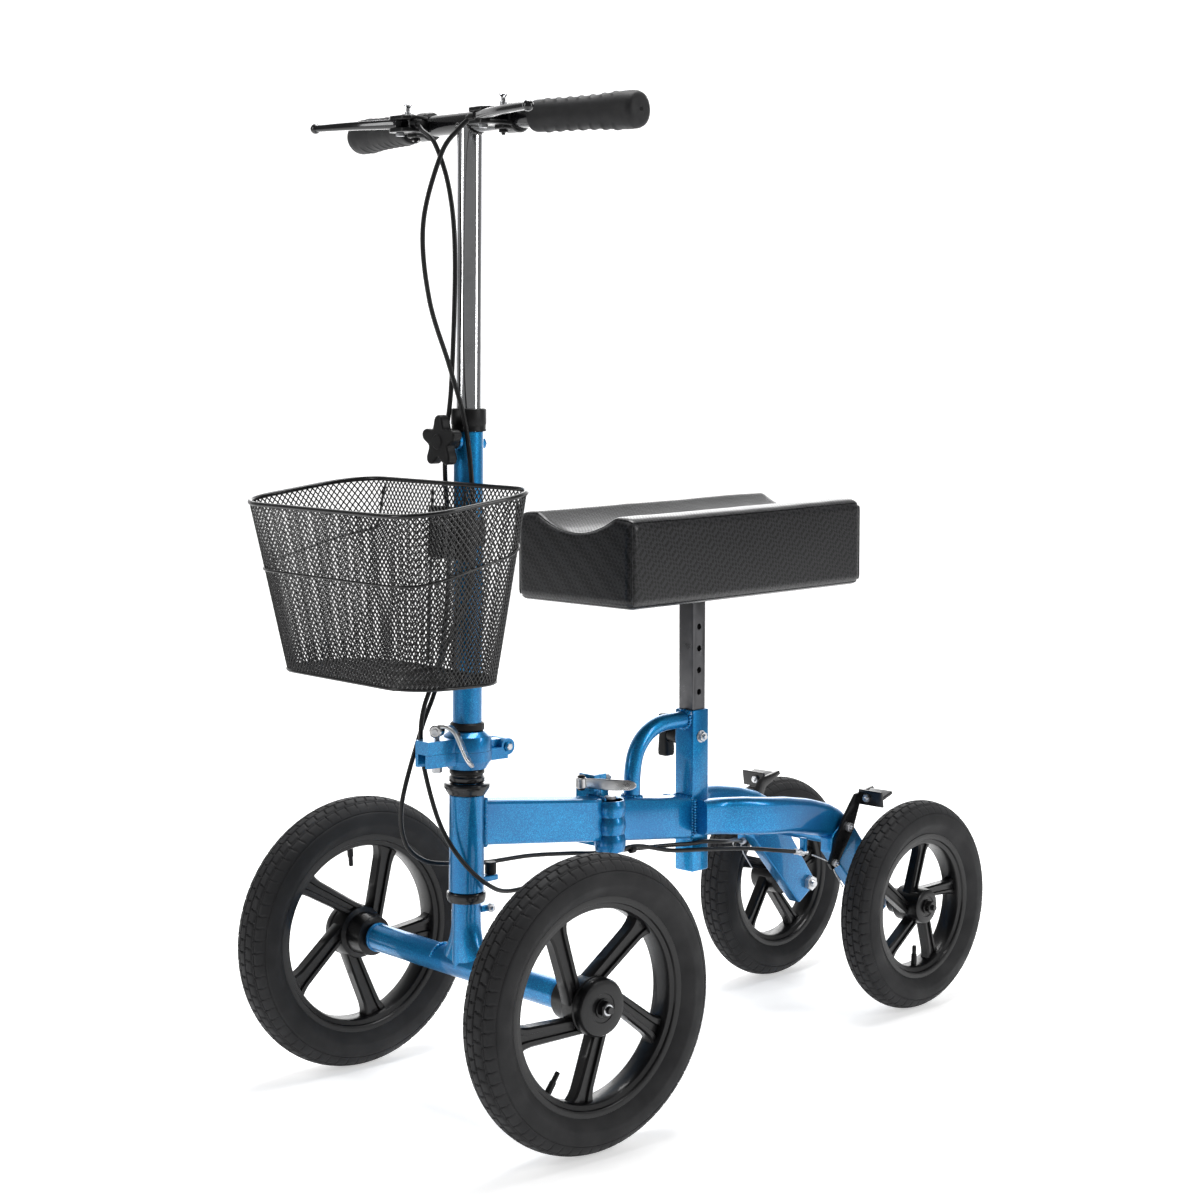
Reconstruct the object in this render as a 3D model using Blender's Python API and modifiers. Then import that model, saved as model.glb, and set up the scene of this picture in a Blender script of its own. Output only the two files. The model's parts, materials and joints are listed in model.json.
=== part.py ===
"""Knee scooter: four air-tyre wheels, folding frame, folding column, knee pad, basket and rear brakes.

Axes: +X is the rider's left, -Y is forwards, +Z is up. Lengths are metres.
The origin is on the ground, under the centre of the scooter's bounding box.

Pieces are given in one of two coordinate systems. Frame coordinates are level and square to the
scooter, with y = 0 under the front axle. Steered coordinates turn and lean with the handlebar:
their z axis is the steering axis, and their y axis still points backwards.
"""

from math import atan2, cos, hypot, pi, radians, sin

import bmesh
import bpy
from mathutils import Euler, Matrix, Vector

# ---------------------------------------------------------------- driving dimensions

GAP = 0.0003                 # space left between touching pieces
ORIGIN_SHIFT = 0.2855        # front axle to the middle of the scooter's length

WHEELBASE = 0.6375
FRONT_TYRE_RADIUS = 0.1525   # 12 1/2 x 2 1/4 tyre
FRONT_TYRE_WIDTH = 0.0525
FRONT_RIM_RADIUS = 0.1100
FRONT_TRACK = 0.3984
REAR_TYRE_RADIUS = 0.1273    # 10 x 2 tyre
REAR_TYRE_WIDTH = 0.0475
REAR_RIM_RADIUS = 0.0868
REAR_TRACK = 0.2244

COLUMN_LEAN = radians(0.74)
STEER_ANGLE = radians(4.57)  # the wheels are parked turned a little to the rider's right
AXIS_FOOT_Y = -0.0044        # where the steering axis meets the ground

BEAM_HEIGHT = 0.048
BEAM_WIDTH = 0.030
BEAM_SLOPE = 0.1305          # the beam drops this much for each metre backwards
BEAM_START_Z = 0.3073        # height of the beam's middle line above the front axle
HEAD_TUBE_RADIUS = 0.0187
HEAD_TUBE_BOTTOM = 0.2326
HEAD_TUBE_TOP = 0.3370
STEERER_RADIUS = 0.0152
AXLE_TUBE_RADIUS = 0.0152
AXLE_TUBE_HALF = 0.160

SPLIT_Z = 0.3846             # the plane where the column's folding joint opens
FOLD_PIN_BACK = 0.046
FOLD_PIN_RADIUS = 0.0035
CLAMP_FORWARD = 0.040
STEM_RADIUS = 0.0155
STEM_TOP = 0.7210
UPPER_TUBE_RADIUS = 0.0136
BAR_Z = 1.0410
BAR_RADIUS = 0.0111
GRIP_END = 0.2335
GRIP_START = 0.103
BAR_SWEEP = 0.028

HINGE_X, HINGE_Y = 0.012, 0.206      # upright pin of the frame's folding joint
KNUCKLE_RADIUS = 0.0148
FRAME_CLAMP_X, FRAME_CLAMP_Z = -0.015, 0.3215

SEAT_Y = 0.356
SEAT_TUBE_SIDE = 0.028
SEAT_POST_SIDE = 0.0222
SEAT_TUBE_BOTTOM, SEAT_TUBE_TOP = 0.1986, 0.3885
POST_BOTTOM = 0.326
HOLE_PITCH = 0.0254
PAD_LENGTH, PAD_WIDTH = 0.400, 0.180
PAD_BOTTOM, PAD_RIDGE, PAD_DIP = 0.5250, 0.6270, 0.6080

BASKET_WALL = 0.0022
CABLE_RADIUS = 0.0025

BLUE = ("blue_paint", (0.012, 0.21, 0.62), 0.28, 0.55)
BLACK_STEEL = ("black_steel", (0.02, 0.02, 0.022), 0.38, 0.3)
BLACK_PLASTIC = ("black_plastic", (0.025, 0.025, 0.027), 0.5, 0.0)
RUBBER = ("rubber", (0.03, 0.03, 0.032), 0.75, 0.0)
TYRE = ("tyre", (0.035, 0.035, 0.037), 0.8, 0.0)
CHROME = ("chrome", (0.82, 0.83, 0.85), 0.08, 1.0)
ZINC = ("zinc", (0.62, 0.63, 0.65), 0.3, 1.0)
VINYL = ("vinyl", (0.03, 0.03, 0.033), 0.42, 0.0)
POST_STEEL = ("post_steel", (0.16, 0.165, 0.17), 0.35, 0.9)

# ---------------------------------------------------------------- scene, frames and materials

for old in list(bpy.data.objects):
    bpy.data.objects.remove(old, do_unlink=True)

scooter = bpy.data.collections.new("knee_scooter")
cutters = bpy.data.collections.new("cutters")
bpy.context.scene.collection.children.link(scooter)
bpy.context.scene.collection.children.link(cutters)


class Frame:
    """An empty that pieces hang on; base is its own place in the coordinates its pieces use."""

    def __init__(self, name, parent=None, at=(0, 0, 0), turn=(0, 0, 0)):
        self.empty = bpy.data.objects.new(name, None)
        self.empty.empty_display_size = 0.03
        scooter.objects.link(self.empty)
        if parent:
            self.empty.parent = parent.empty
            self.empty.location = Vector(at) - parent.base
        else:
            self.empty.location = at
        self.empty.rotation_euler = turn
        keeps_axes = parent is not None and tuple(turn) == (0, 0, 0)
        self.base = Vector(at) if keeps_axes else Vector()


def material(spec):
    name, color, roughness, metallic = spec
    found = bpy.data.materials.get(name)
    if found:
        return found
    made = bpy.data.materials.new(name)
    made.use_nodes = True
    shader = made.node_tree.nodes["Principled BSDF"]
    shader.inputs["Base Color"].default_value = (*color, 1)
    shader.inputs["Roughness"].default_value = roughness
    shader.inputs["Metallic"].default_value = metallic
    made.diffuse_color = (*color, 1)
    return made


def place(obj, frame, at=(0, 0, 0), turn=(0, 0, 0)):
    obj.parent = frame.empty
    obj.location = Vector(at) - frame.base
    obj.rotation_euler = turn
    return obj


# ---------------------------------------------------------------- shape tools

ALONG_X = (0, pi / 2, 0)
ALONG_Y = (-pi / 2, 0, 0)


def new_mesh_object(name, mesh, finish, smooth_angle=None):
    obj = bpy.data.objects.new(name, mesh)
    mesh.materials.append(material(finish))
    if smooth_angle:
        mesh.shade_smooth()
        mesh.set_sharp_from_angle(angle=smooth_angle)
    scooter.objects.link(obj)
    return obj


def cylinder(name, radius, length, finish, segments=24, top_radius=None):
    """A cylinder or cone along the local z axis, centred on the origin."""
    bm = bmesh.new()
    bmesh.ops.create_cone(
        bm, cap_ends=True, segments=segments, radius1=radius,
        radius2=radius if top_radius is None else top_radius, depth=length)
    mesh = bpy.data.meshes.new(name)
    bm.to_mesh(mesh)
    bm.free()
    return new_mesh_object(name, mesh, finish, radians(40))


def block(name, size, finish, bevel=0.0):
    """A box centred on the origin, with its scale already in the mesh."""
    bm = bmesh.new()
    bmesh.ops.create_cube(bm, size=1)
    bmesh.ops.scale(bm, vec=Vector(size), verts=bm.verts)
    mesh = bpy.data.meshes.new(name)
    bm.to_mesh(mesh)
    bm.free()
    obj = new_mesh_object(name, mesh, finish)
    if bevel:
        add_bevel(obj, bevel)
    return obj


def add_bevel(obj, width, segments=2):
    mod = obj.modifiers.new("rounded_edges", "BEVEL")
    mod.width = width
    mod.segments = segments
    mod.limit_method = "ANGLE"
    mod.angle_limit = radians(40)


def turned(name, profile, finish, steps=28, ring=False):
    """Turn (radius, z) points about z; an open profile starts and ends on the axis.

    The points run down the outer side, so the faces point out.
    """
    mesh = bpy.data.meshes.new(name)
    edges = [(i, i + 1) for i in range(len(profile) - 1)]
    if ring:
        edges.append((len(profile) - 1, 0))
    mesh.from_pydata([(r, 0, z) for r, z in profile], edges, [])
    obj = new_mesh_object(name, mesh, finish)
    mod = obj.modifiers.new("turned", "SCREW")
    mod.angle = 2 * pi
    mod.steps = steps
    mod.render_steps = steps
    mod.use_merge_vertices = True
    mod.merge_threshold = 0.00005
    mod.use_normal_calculate = False
    return obj


def tube_ring(name, outer, inner, low, high, finish, steps=28):
    """A plain sleeve between two heights."""
    return turned(name, [(outer, high), (outer, low), (inner, low), (inner, high)], finish, steps, True)


def curve_object(name, points, finish, cyclic=False, flat=False):
    curve = bpy.data.curves.new(name, "CURVE")
    curve.dimensions = "2D" if flat else "3D"
    spline = curve.splines.new("POLY")
    spline.points.add(len(points) - 1)
    for slot, point in zip(spline.points, points):
        x, y, z = (*point, 0) if flat else point
        slot.co = (x, y, z, 1)
    spline.use_cyclic_u = cyclic
    curve.materials.append(material(finish))
    obj = bpy.data.objects.new(name, curve)
    scooter.objects.link(obj)
    return obj


def rod(name, points, radius, finish, resolution=4):
    """A round bar or tube along a list of points, with closed ends."""
    obj = curve_object(name, points, finish)
    obj.data.bevel_depth = radius
    obj.data.bevel_resolution = resolution
    obj.data.use_fill_caps = True
    return obj


def plate(name, outline, thickness, finish):
    """A flat outline in the local xy plane, thickened equally to both sides."""
    obj = curve_object(name, outline, finish, cyclic=True, flat=True)
    obj.data.fill_mode = "BOTH"
    obj.data.extrude = thickness / 2
    return as_mesh(obj)


def as_mesh(obj):
    """Replace a curve by its mesh, with the loose caps welded on."""
    bpy.context.view_layer.update()
    graph = bpy.context.evaluated_depsgraph_get()
    mesh = bpy.data.meshes.new_from_object(obj.evaluated_get(graph))
    bm = bmesh.new()
    bm.from_mesh(mesh)
    bmesh.ops.remove_doubles(bm, verts=bm.verts, dist=0.00001)
    bmesh.ops.recalc_face_normals(bm, faces=bm.faces)
    bm.to_mesh(mesh)
    bm.free()
    made = bpy.data.objects.new("solid", mesh)
    scooter.objects.link(made)
    made.parent = obj.parent
    made.matrix_world = obj.matrix_world
    name = obj.name
    bpy.data.objects.remove(obj, do_unlink=True)
    made.name = name
    return made


def tool(obj):
    """Keep a cutter or a joined shape out of the model itself."""
    scooter.objects.unlink(obj)
    cutters.objects.link(obj)
    obj.hide_render = True
    obj.display_type = "WIRE"
    return obj


def combine(obj, other, operation):
    mod = obj.modifiers.new(other.name, "BOOLEAN")
    mod.operation = operation
    mod.solver = "EXACT"
    mod.object = tool(other)
    return obj


def cut(obj, other):
    return combine(obj, other, "DIFFERENCE")


def join(obj, other):
    return combine(obj, other, "UNION")


def rectangle(width, height):
    return [(-width / 2, -height / 2), (width / 2, -height / 2), (width / 2, height / 2),
            (-width / 2, height / 2)]


def arc(cx, cy, radius, start, end, count):
    """Points on a circle from one angle to another, in degrees."""
    angles = [radians(start + (end - start) * i / count) for i in range(count + 1)]
    return [(cx + radius * cos(a), cy + radius * sin(a)) for a in angles]


def smooth_route(points, spacing):
    """Points at an even spacing on a Catmull-Rom curve through the given points."""
    pts = [Vector(p) for p in points]
    padded = [2 * pts[0] - pts[1], *pts, 2 * pts[-1] - pts[-2]]
    fine = []
    for a, b, c, d in zip(padded, padded[1:], padded[2:], padded[3:]):
        for i in range(24):
            t = i / 24
            fine.append(0.5 * ((2 * b) + (c - a) * t + (2 * a - 5 * b + 4 * c - d) * t * t
                               + (3 * b - a - 3 * c + d) * t ** 3))
    fine.append(pts[-1])
    lengths = [(q - p).length for p, q in zip(fine, fine[1:])]
    count = max(2, round(sum(lengths) / spacing))
    step = sum(lengths) / count
    route, travelled, target = [fine[0]], 0.0, step
    for p, q, length in zip(fine, fine[1:], lengths):
        while travelled + length >= target and len(route) < count:
            route.append(p.lerp(q, (target - travelled) / length))
            target += step
        travelled += length
    return route + [fine[-1]]


# ---------------------------------------------------------------- the moving bodies' frames

base = Frame("scooter_base", at=(0, -ORIGIN_SHIFT, 0))
front = Frame("frame_fold_axis", base, (HINGE_X, HINGE_Y, 0.276))
head = Frame("head_axis", front, (0, AXIS_FOOT_Y, 0), (-COLUMN_LEAN, 0, 0))
steer = Frame("steering_axis", head, (0, 0, 0), (0, 0, -STEER_ANGLE))
stem = Frame("stem_fold_axis", steer, (0, FOLD_PIN_BACK, SPLIT_Z))
handlebar = Frame("handlebar_slide_axis", stem, (0, 0, STEM_TOP))
seat = Frame("seat_slide_axis", base, (0, SEAT_Y, SEAT_TUBE_TOP))

STEERED_TO_FRAME = (Matrix.Translation((0, AXIS_FOOT_Y, 0)) @ Euler((-COLUMN_LEAN, 0, 0)).to_matrix().to_4x4()
                    @ Euler((0, 0, -STEER_ANGLE)).to_matrix().to_4x4())


def from_steered(points):
    return [STEERED_TO_FRAME @ Vector(p) for p in points]


def beam_z(y):
    return BEAM_START_Z - BEAM_SLOPE * y


SIDES = (("left", 1), ("right", -1))

# ---------------------------------------------------------------- wheels


def tyre_profile(radius, width, inner):
    """The tyre's section as (radius, z) points: a round tread and flatter sides."""
    half, height = width / 2, radius - inner
    points = []
    for i in range(9):
        a = pi * i / 8
        bulge = sin(a) ** 0.75
        points.append((inner + 0.012 + (height - 0.012) * bulge, half * cos(a)))
    points = [(inner, half * 0.60)] + points + [(inner, -half * 0.60)]
    return points


def spoke_star(name, hub_radius, rim_radius, thickness):
    """Five slanted spokes in one plate; each edge leaves the hub beside the radius."""
    outline = []
    for k in range(5):
        a = 2 * pi * k / 5
        inner_lead, inner_trail = a + 0.95, a + 0.05
        outer_lead, outer_trail = a - 0.07, a - 0.26
        for radius, angle in ((hub_radius, inner_trail), (rim_radius, outer_trail),
                              (rim_radius, outer_lead), (hub_radius, inner_lead)):
            outline.append((radius * cos(angle), radius * sin(angle)))
    return plate(name, outline, thickness, BLACK_PLASTIC)


def wheel(label, frame, at, side, tyre_radius, tyre_width, rim_radius, rim_half, hub, bore, spoke_hub):
    """Tyre and cast wheel on a sideways axis; the hub profile's +z side faces outwards."""
    axis = Frame(f"wheel_{label}_axis", frame, at)
    turn = (0, pi / 2 * side, 0)
    seat_radius = rim_radius + GAP
    tyre = turned(f"tyre_{label}", tyre_profile(tyre_radius, tyre_width, seat_radius), TYRE, 36, True)
    place(tyre, axis, at, turn)
    flange, bed, inner = rim_radius, rim_radius - 0.007, rim_radius - 0.0125
    ring = [(flange, rim_half), (flange, rim_half - 0.003), (bed, rim_half - 0.005), (bed, 0.005 - rim_half),
            (flange, 0.003 - rim_half), (flange, -rim_half), (inner, -rim_half), (inner, rim_half)]
    rim = place(turned(f"rim_{label}", ring, BLACK_PLASTIC, 36, True), axis, at, turn)
    star = place(spoke_star(f"spokes_{label}", spoke_hub, inner + 0.002, 0.013), axis, at, turn)
    core = place(turned(f"hub_{label}", hub, BLACK_PLASTIC, 24), axis, at, turn)
    join(rim, star)
    join(rim, core)
    hole = place(cylinder(f"bore_{label}", bore, 0.2, ZINC, 16), axis, at, turn)
    cut(rim, hole)


FRONT_HUB = [(0, 0.023), (0.0290, 0.023), (0.0298, 0.020), (0.0298, 0.004), (0.0230, 0.001),
             (0.0230, -0.034), (0, -0.034)]
REAR_HUB = [(0, 0.021), (0.0200, 0.021), (0.0210, 0.019), (0.0210, -0.018), (0.0150, -0.021),
            (0.0150, -0.031), (0, -0.031)]
FRONT_BORE, REAR_BORE = 0.0066, 0.0060


def wheels():
    for label, side in SIDES:
        wheel(f"front_{label}", steer, (side * FRONT_TRACK / 2, 0, FRONT_TYRE_RADIUS), side,
              FRONT_TYRE_RADIUS, FRONT_TYRE_WIDTH, FRONT_RIM_RADIUS, 0.017, FRONT_HUB, FRONT_BORE, 0.026)
        wheel(f"rear_{label}", base, (side * REAR_TRACK / 2, WHEELBASE, REAR_TYRE_RADIUS), side,
              REAR_TYRE_RADIUS, REAR_TYRE_WIDTH, REAR_RIM_RADIUS, 0.016, REAR_HUB, REAR_BORE, 0.018)


# ---------------------------------------------------------------- rear frame


def sloped_beam(name, frame, start, end):
    """A length of the main beam between two places along the scooter."""
    length = hypot(end - start, beam_z(start) - beam_z(end))
    beam = block(name, (BEAM_WIDTH, length, BEAM_HEIGHT), BLUE, 0.004)
    middle = (start + end) / 2
    place(beam, frame, (0, middle, beam_z(middle)), (-atan2(BEAM_SLOPE, 1), 0, 0))
    return beam


def level_end(name, frame, y, direction):
    """A block that trims a beam's end to an upright plane."""
    trimmer = block(name, (0.2, 0.1, 0.3), BLUE)
    return place(trimmer, frame, (0, y + direction * 0.05, 0.28))


def hinge_clearance(name, frame):
    """The room that the other half's knuckles turn in, round the frame's folding pin."""
    return place(cylinder(name, KNUCKLE_RADIUS + 0.0004, 0.3, BLUE, 24), frame, (HINGE_X, HINGE_Y, 0.28))


def seat_tube_and_beam():
    tube = block("seat_tube", (SEAT_TUBE_SIDE, SEAT_TUBE_SIDE, SEAT_TUBE_TOP - SEAT_TUBE_BOTTOM), BLUE, 0.002)
    middle = (SEAT_TUBE_TOP + SEAT_TUBE_BOTTOM) / 2
    place(tube, base, (0, SEAT_Y, middle))
    hollow = SEAT_POST_SIDE + 0.0008
    cut(tube, place(block("seat_tube_hollow", (hollow, hollow, 0.4), BLUE), base, (0, SEAT_Y, middle)))
    beam = sloped_beam("rear_beam", base, 0.20, 0.36)
    cut(beam, level_end("rear_beam_front_trim", base, HINGE_Y + 0.0098, -1))
    cut(beam, hinge_clearance("rear_beam_hinge_clearance", base))
    cut(beam, level_end("rear_beam_back_trim", base, SEAT_Y - SEAT_TUBE_SIDE / 2 - GAP, 1))


def support_tube():
    """The curved brace from the beam's top to the seat tube's front face."""
    foot_y, radius = 0.2545, 0.0098
    points = [(0, foot_y, 0.280), (0, foot_y, 0.310), (0, 0.2560, 0.330), (0, 0.2610, 0.3480),
              (0, 0.2720, 0.3625), (0, 0.2880, 0.3725), (0, 0.3080, 0.3770), (0, 0.3550, 0.3770)]
    tube = as_mesh(rod("support_tube", smooth_route(points, 0.012), radius, BLUE, 3))
    place(tube, base)
    cut(tube, level_end("support_tube_back_trim", base, SEAT_Y - SEAT_TUBE_SIDE / 2 - GAP, 1))
    trimmer = block("support_tube_foot_trim", (0.1, 0.3, 0.1), BLUE)
    place(trimmer, base, (0, foot_y, beam_z(foot_y) + BEAM_HEIGHT / 2 / cos(atan2(BEAM_SLOPE, 1))
          + GAP - 0.05), (-atan2(BEAM_SLOPE, 1), 0, 0))
    cut(tube, trimmer)


ARM_HALF_HEIGHT, ARM_WIDTH = 0.020, 0.023
STRUT_X, STRUT_THICKNESS = 0.0610, 0.018
CROSS_TUBE, CROSS_RADIUS = (0.5680, 0.2140), 0.0125


def rear_arm(label, side):
    """One arm of the rear fork, bowed outwards, with the drop plate that carries the axle."""
    path = [(0.0259, 0.3430), (0.0300, 0.3700), (0.0420, 0.3960), (0.0520, 0.4240), (0.0555, 0.4560),
            (0.0560, 0.5000), (0.0570, 0.5640)]
    outer = []
    inner = []
    for i, (x, y) in enumerate(path):
        x0, y0 = path[max(i - 1, 0)]
        x1, y1 = path[min(i + 1, len(path) - 1)]
        length = hypot(x1 - x0, y1 - y0)
        nx, ny = (y1 - y0) / length, -(x1 - x0) / length
        outer.append((side * (x + nx * ARM_WIDTH / 2), y + ny * ARM_WIDTH / 2))
        inner.append((side * (x - nx * ARM_WIDTH / 2), y - ny * ARM_WIDTH / 2))
    outline = outer + inner[::-1]
    arm = plate(f"rear_arm_{label}", outline if side > 0 else outline[::-1], 0.120, BLUE)
    place(arm, base, (0, 0, 0.250))
    # The arm's top and bottom edges fall backwards, and its end is rounded off.
    side_view = [(0.330, 0.2860 - 2 * ARM_HALF_HEIGHT), (0.330, 0.2860), (0.400, 0.2835), (0.460, 0.2770),
                 (0.500, 0.2695), (0.535, 0.2590), (0.555, 0.2490), (0.566, 0.2380), (0.566, 0.2220),
                 (0.548, 0.2150), (0.500, 0.2260), (0.460, 0.2340), (0.400, 0.2400)]
    mask = plate(f"rear_arm_side_view_{label}", side_view, 0.3, BLUE)
    place(mask, base, (0, 0, 0), (pi / 2, 0, pi / 2))
    combine(arm, mask, "INTERSECT")
    axle = (WHEELBASE, REAR_TYRE_RADIUS)
    drop = [(0.5300, 0.2190), (0.5300, 0.2010), (0.6190, 0.1040), (0.6530, 0.1250), (0.6040, 0.1905),
            (0.5600, 0.2430)]
    strut = plate(f"rear_strut_shape_{label}", drop, STRUT_THICKNESS, BLUE)
    place(strut, base, (side * STRUT_X, 0, 0), (pi / 2, 0, pi / 2))
    join(arm, strut)
    cut(arm, place(cylinder(f"rear_axle_hole_{label}", 0.0059, 0.05, BLUE, 16), base,
                   (side * STRUT_X, *axle), ALONG_X))
    cross = cylinder(f"rear_arm_cross_hole_{label}", CROSS_RADIUS + GAP, 0.104, BLUE, 20)
    cut(arm, place(cross, base, (0, *CROSS_TUBE), ALONG_X))
    cut(arm, place(cylinder(f"brake_pivot_hole_{label}", 0.0033, 0.05, BLUE, 16), base,
                   (side * 0.060, BRAKE_PIVOT_Y, BRAKE_PIVOT_Z), ALONG_X))


def rear_axle(label, side):
    """A wheel bolt with a nut at each end."""
    start, end = 0.0455, 0.1425
    profile = [(0, end), (0.0085, end), (0.0085, end - 0.0085), (0.0054, end - 0.0085),
               (0.0054, start + 0.0060), (0.0090, start + 0.0060), (0.0090, start), (0, start)]
    bolt = turned(f"rear_axle_{label}", profile, ZINC, 16)
    place(bolt, base, (0, WHEELBASE, REAR_TYRE_RADIUS), (0, pi / 2 * side, 0))


def cross_tube():
    """The tube that ties the two drop plates together, with the cable stops' lug below it."""
    reach = STRUT_X - STRUT_THICKNESS / 2 - GAP
    tube = cylinder("rear_cross_tube", CROSS_RADIUS, 2 * reach, BLUE, 20)
    place(tube, base, (0, *CROSS_TUBE), ALONG_X)


def rear_frame():
    seat_tube_and_beam()
    support_tube()
    cross_tube()
    for label, side in SIDES:
        rear_arm(label, side)
        rear_axle(label, side)


# ---------------------------------------------------------------- rear brakes

BRAKE_PIVOT_Y, BRAKE_PIVOT_Z = 0.5525, 0.2300
BRAKE_ARM_X = 0.0745


def brake_arm(label, side):
    """A bent steel lever: the cable pulls its lower end and its top plate presses on the tread."""
    frame = Frame(f"brake_{label}_axis", base, (side * BRAKE_ARM_X, BRAKE_PIVOT_Y, BRAKE_PIVOT_Z))
    outline = [(0.5180, 0.1900), (0.5235, 0.1820), (0.5330, 0.1850), (0.5620, 0.2230), (0.5760, 0.2560),
               (0.6040, 0.2690), (0.6020, 0.2735), (0.5680, 0.2680), (0.5420, 0.2380)]
    arm = plate(f"brake_arm_{label}", outline, 0.0040, BLACK_STEEL)
    place(arm, frame, (side * BRAKE_ARM_X, 0, 0), (pi / 2, 0, pi / 2))
    shoe = block(f"brake_shoe_{label}", (0.036, 0.022, 0.0040), BLACK_STEEL)
    place(shoe, frame, (side * (BRAKE_ARM_X + 0.0170), 0.5870, 0.2672), (0.30, 0, 0))
    join(arm, shoe)
    cut(arm, place(cylinder(f"brake_arm_hole_{label}", 0.0033, 0.02, ZINC, 16), frame,
                   (side * BRAKE_ARM_X, BRAKE_PIVOT_Y, BRAKE_PIVOT_Z), ALONG_X))
    head_x = BRAKE_ARM_X + 0.0020 + GAP
    profile = [(0, head_x + 0.0050), (0.0058, head_x + 0.0050), (0.0058, head_x), (0.0030, head_x),
               (0.0030, 0.0460), (0, 0.0460)]
    bolt = turned(f"brake_pivot_bolt_{label}", profile, ZINC, 16)
    place(bolt, base, (0, BRAKE_PIVOT_Y, BRAKE_PIVOT_Z), (0, pi / 2 * side, 0))


# ---------------------------------------------------------------- seat


def knee_seat():
    top = PAD_BOTTOM - 0.0035
    post = block("seat_post", (SEAT_POST_SIDE, SEAT_POST_SIDE, top - GAP - POST_BOTTOM), POST_STEEL, 0.0015)
    place(post, seat, (0, SEAT_Y, (top - GAP + POST_BOTTOM) / 2))
    for i in range(6):
        z = 0.4850 - HOLE_PITCH * i
        hole = cylinder(f"seat_post_hole_{i}", 0.0036, 0.05, POST_STEEL, 12)
        cut(post, place(hole, seat, (0, SEAT_Y, z), ALONG_X))
    base_plate = block("pad_plate", (0.120, 0.240, 0.0032), BLACK_STEEL)
    place(base_plate, seat, (0, SEAT_Y, top + 0.0016))
    half = PAD_WIDTH / 2
    outline = [(-half, PAD_BOTTOM), (half, PAD_BOTTOM), (half, 0.612), (half - 0.004, 0.622),
               (half - 0.014, PAD_RIDGE), (half - 0.030, PAD_RIDGE - 0.0020)]
    outline += [(half * 0.45 * t, PAD_DIP + 0.0095 * abs(t) ** 2) for t in (1, 0.5, 0, -0.5, -1)]
    outline += [(0.030 - half, PAD_RIDGE - 0.0020), (0.014 - half, PAD_RIDGE), (0.004 - half, 0.622),
                (-half, 0.612)]
    pad = plate("knee_pad", outline, PAD_LENGTH, VINYL)
    place(pad, seat, (0, SEAT_Y + 0.003, 0), (pi / 2, 0, 0))


def seat_knob():
    """The T-handled clamp screw on the seat tube's right face."""
    z = 0.3530
    face = -SEAT_TUBE_SIDE / 2
    frame = Frame("seat_knob_axis", base, (face, SEAT_Y, z))
    neck = cylinder("seat_knob", 0.0095, 0.0190, BLACK_PLASTIC, 16, 0.0075)
    place(neck, frame, (face - GAP - 0.0095, SEAT_Y, z), ALONG_X)
    grip = block("seat_knob_handle", (0.0150, 0.0160, 0.0520), BLACK_PLASTIC)
    add_bevel(grip, 0.0050)
    join(neck, place(grip, frame, (face - 0.0265, SEAT_Y, z)))


# ---------------------------------------------------------------- frame folding joint


def joint_casting(name, frame, near, far, knuckles):
    """One half of the frame's folding joint: a plate, an ear for the clamp and its hinge knuckles."""
    low, high = 0.2500, 0.3120
    middle = (near + far) / 2
    half = block(name, (0.052, abs(far - near), high - low), BLUE)
    place(half, frame, (-0.006, middle, (low + high) / 2))
    ear = block(name + "_ear", (0.024, abs(far - near), 0.030), BLUE)
    join(half, place(ear, frame, (FRAME_CLAMP_X, middle, 0.3150)))
    # The hinge side is cut back to a cylinder round the pin before the knuckles are added.
    cut(half, hinge_clearance(name + "_clearance", frame))
    beyond = block(name + "_outer_trim", (0.060, 0.060, 0.2), BLUE)
    cut(half, place(beyond, frame, (HINGE_X + 0.0300, HINGE_Y, 0.28)))
    for i, (bottom, top) in enumerate(knuckles):
        knuckle = cylinder(f"{name}_knuckle_{i}", KNUCKLE_RADIUS, top - bottom, BLUE, 24)
        join(half, place(knuckle, frame, (HINGE_X, HINGE_Y, (bottom + top) / 2)))
        web = block(f"{name}_web_{i}", (0.018, abs(far - near) - 0.0002, top - bottom), BLUE)
        join(half, place(web, frame, (HINGE_X - 0.011, middle, (bottom + top) / 2)))
    pin_hole = cylinder(name + "_pin_hole", 0.0043, 0.2, BLUE, 16)
    cut(half, place(pin_hole, frame, (HINGE_X, HINGE_Y, 0.28)))
    return half


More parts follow.
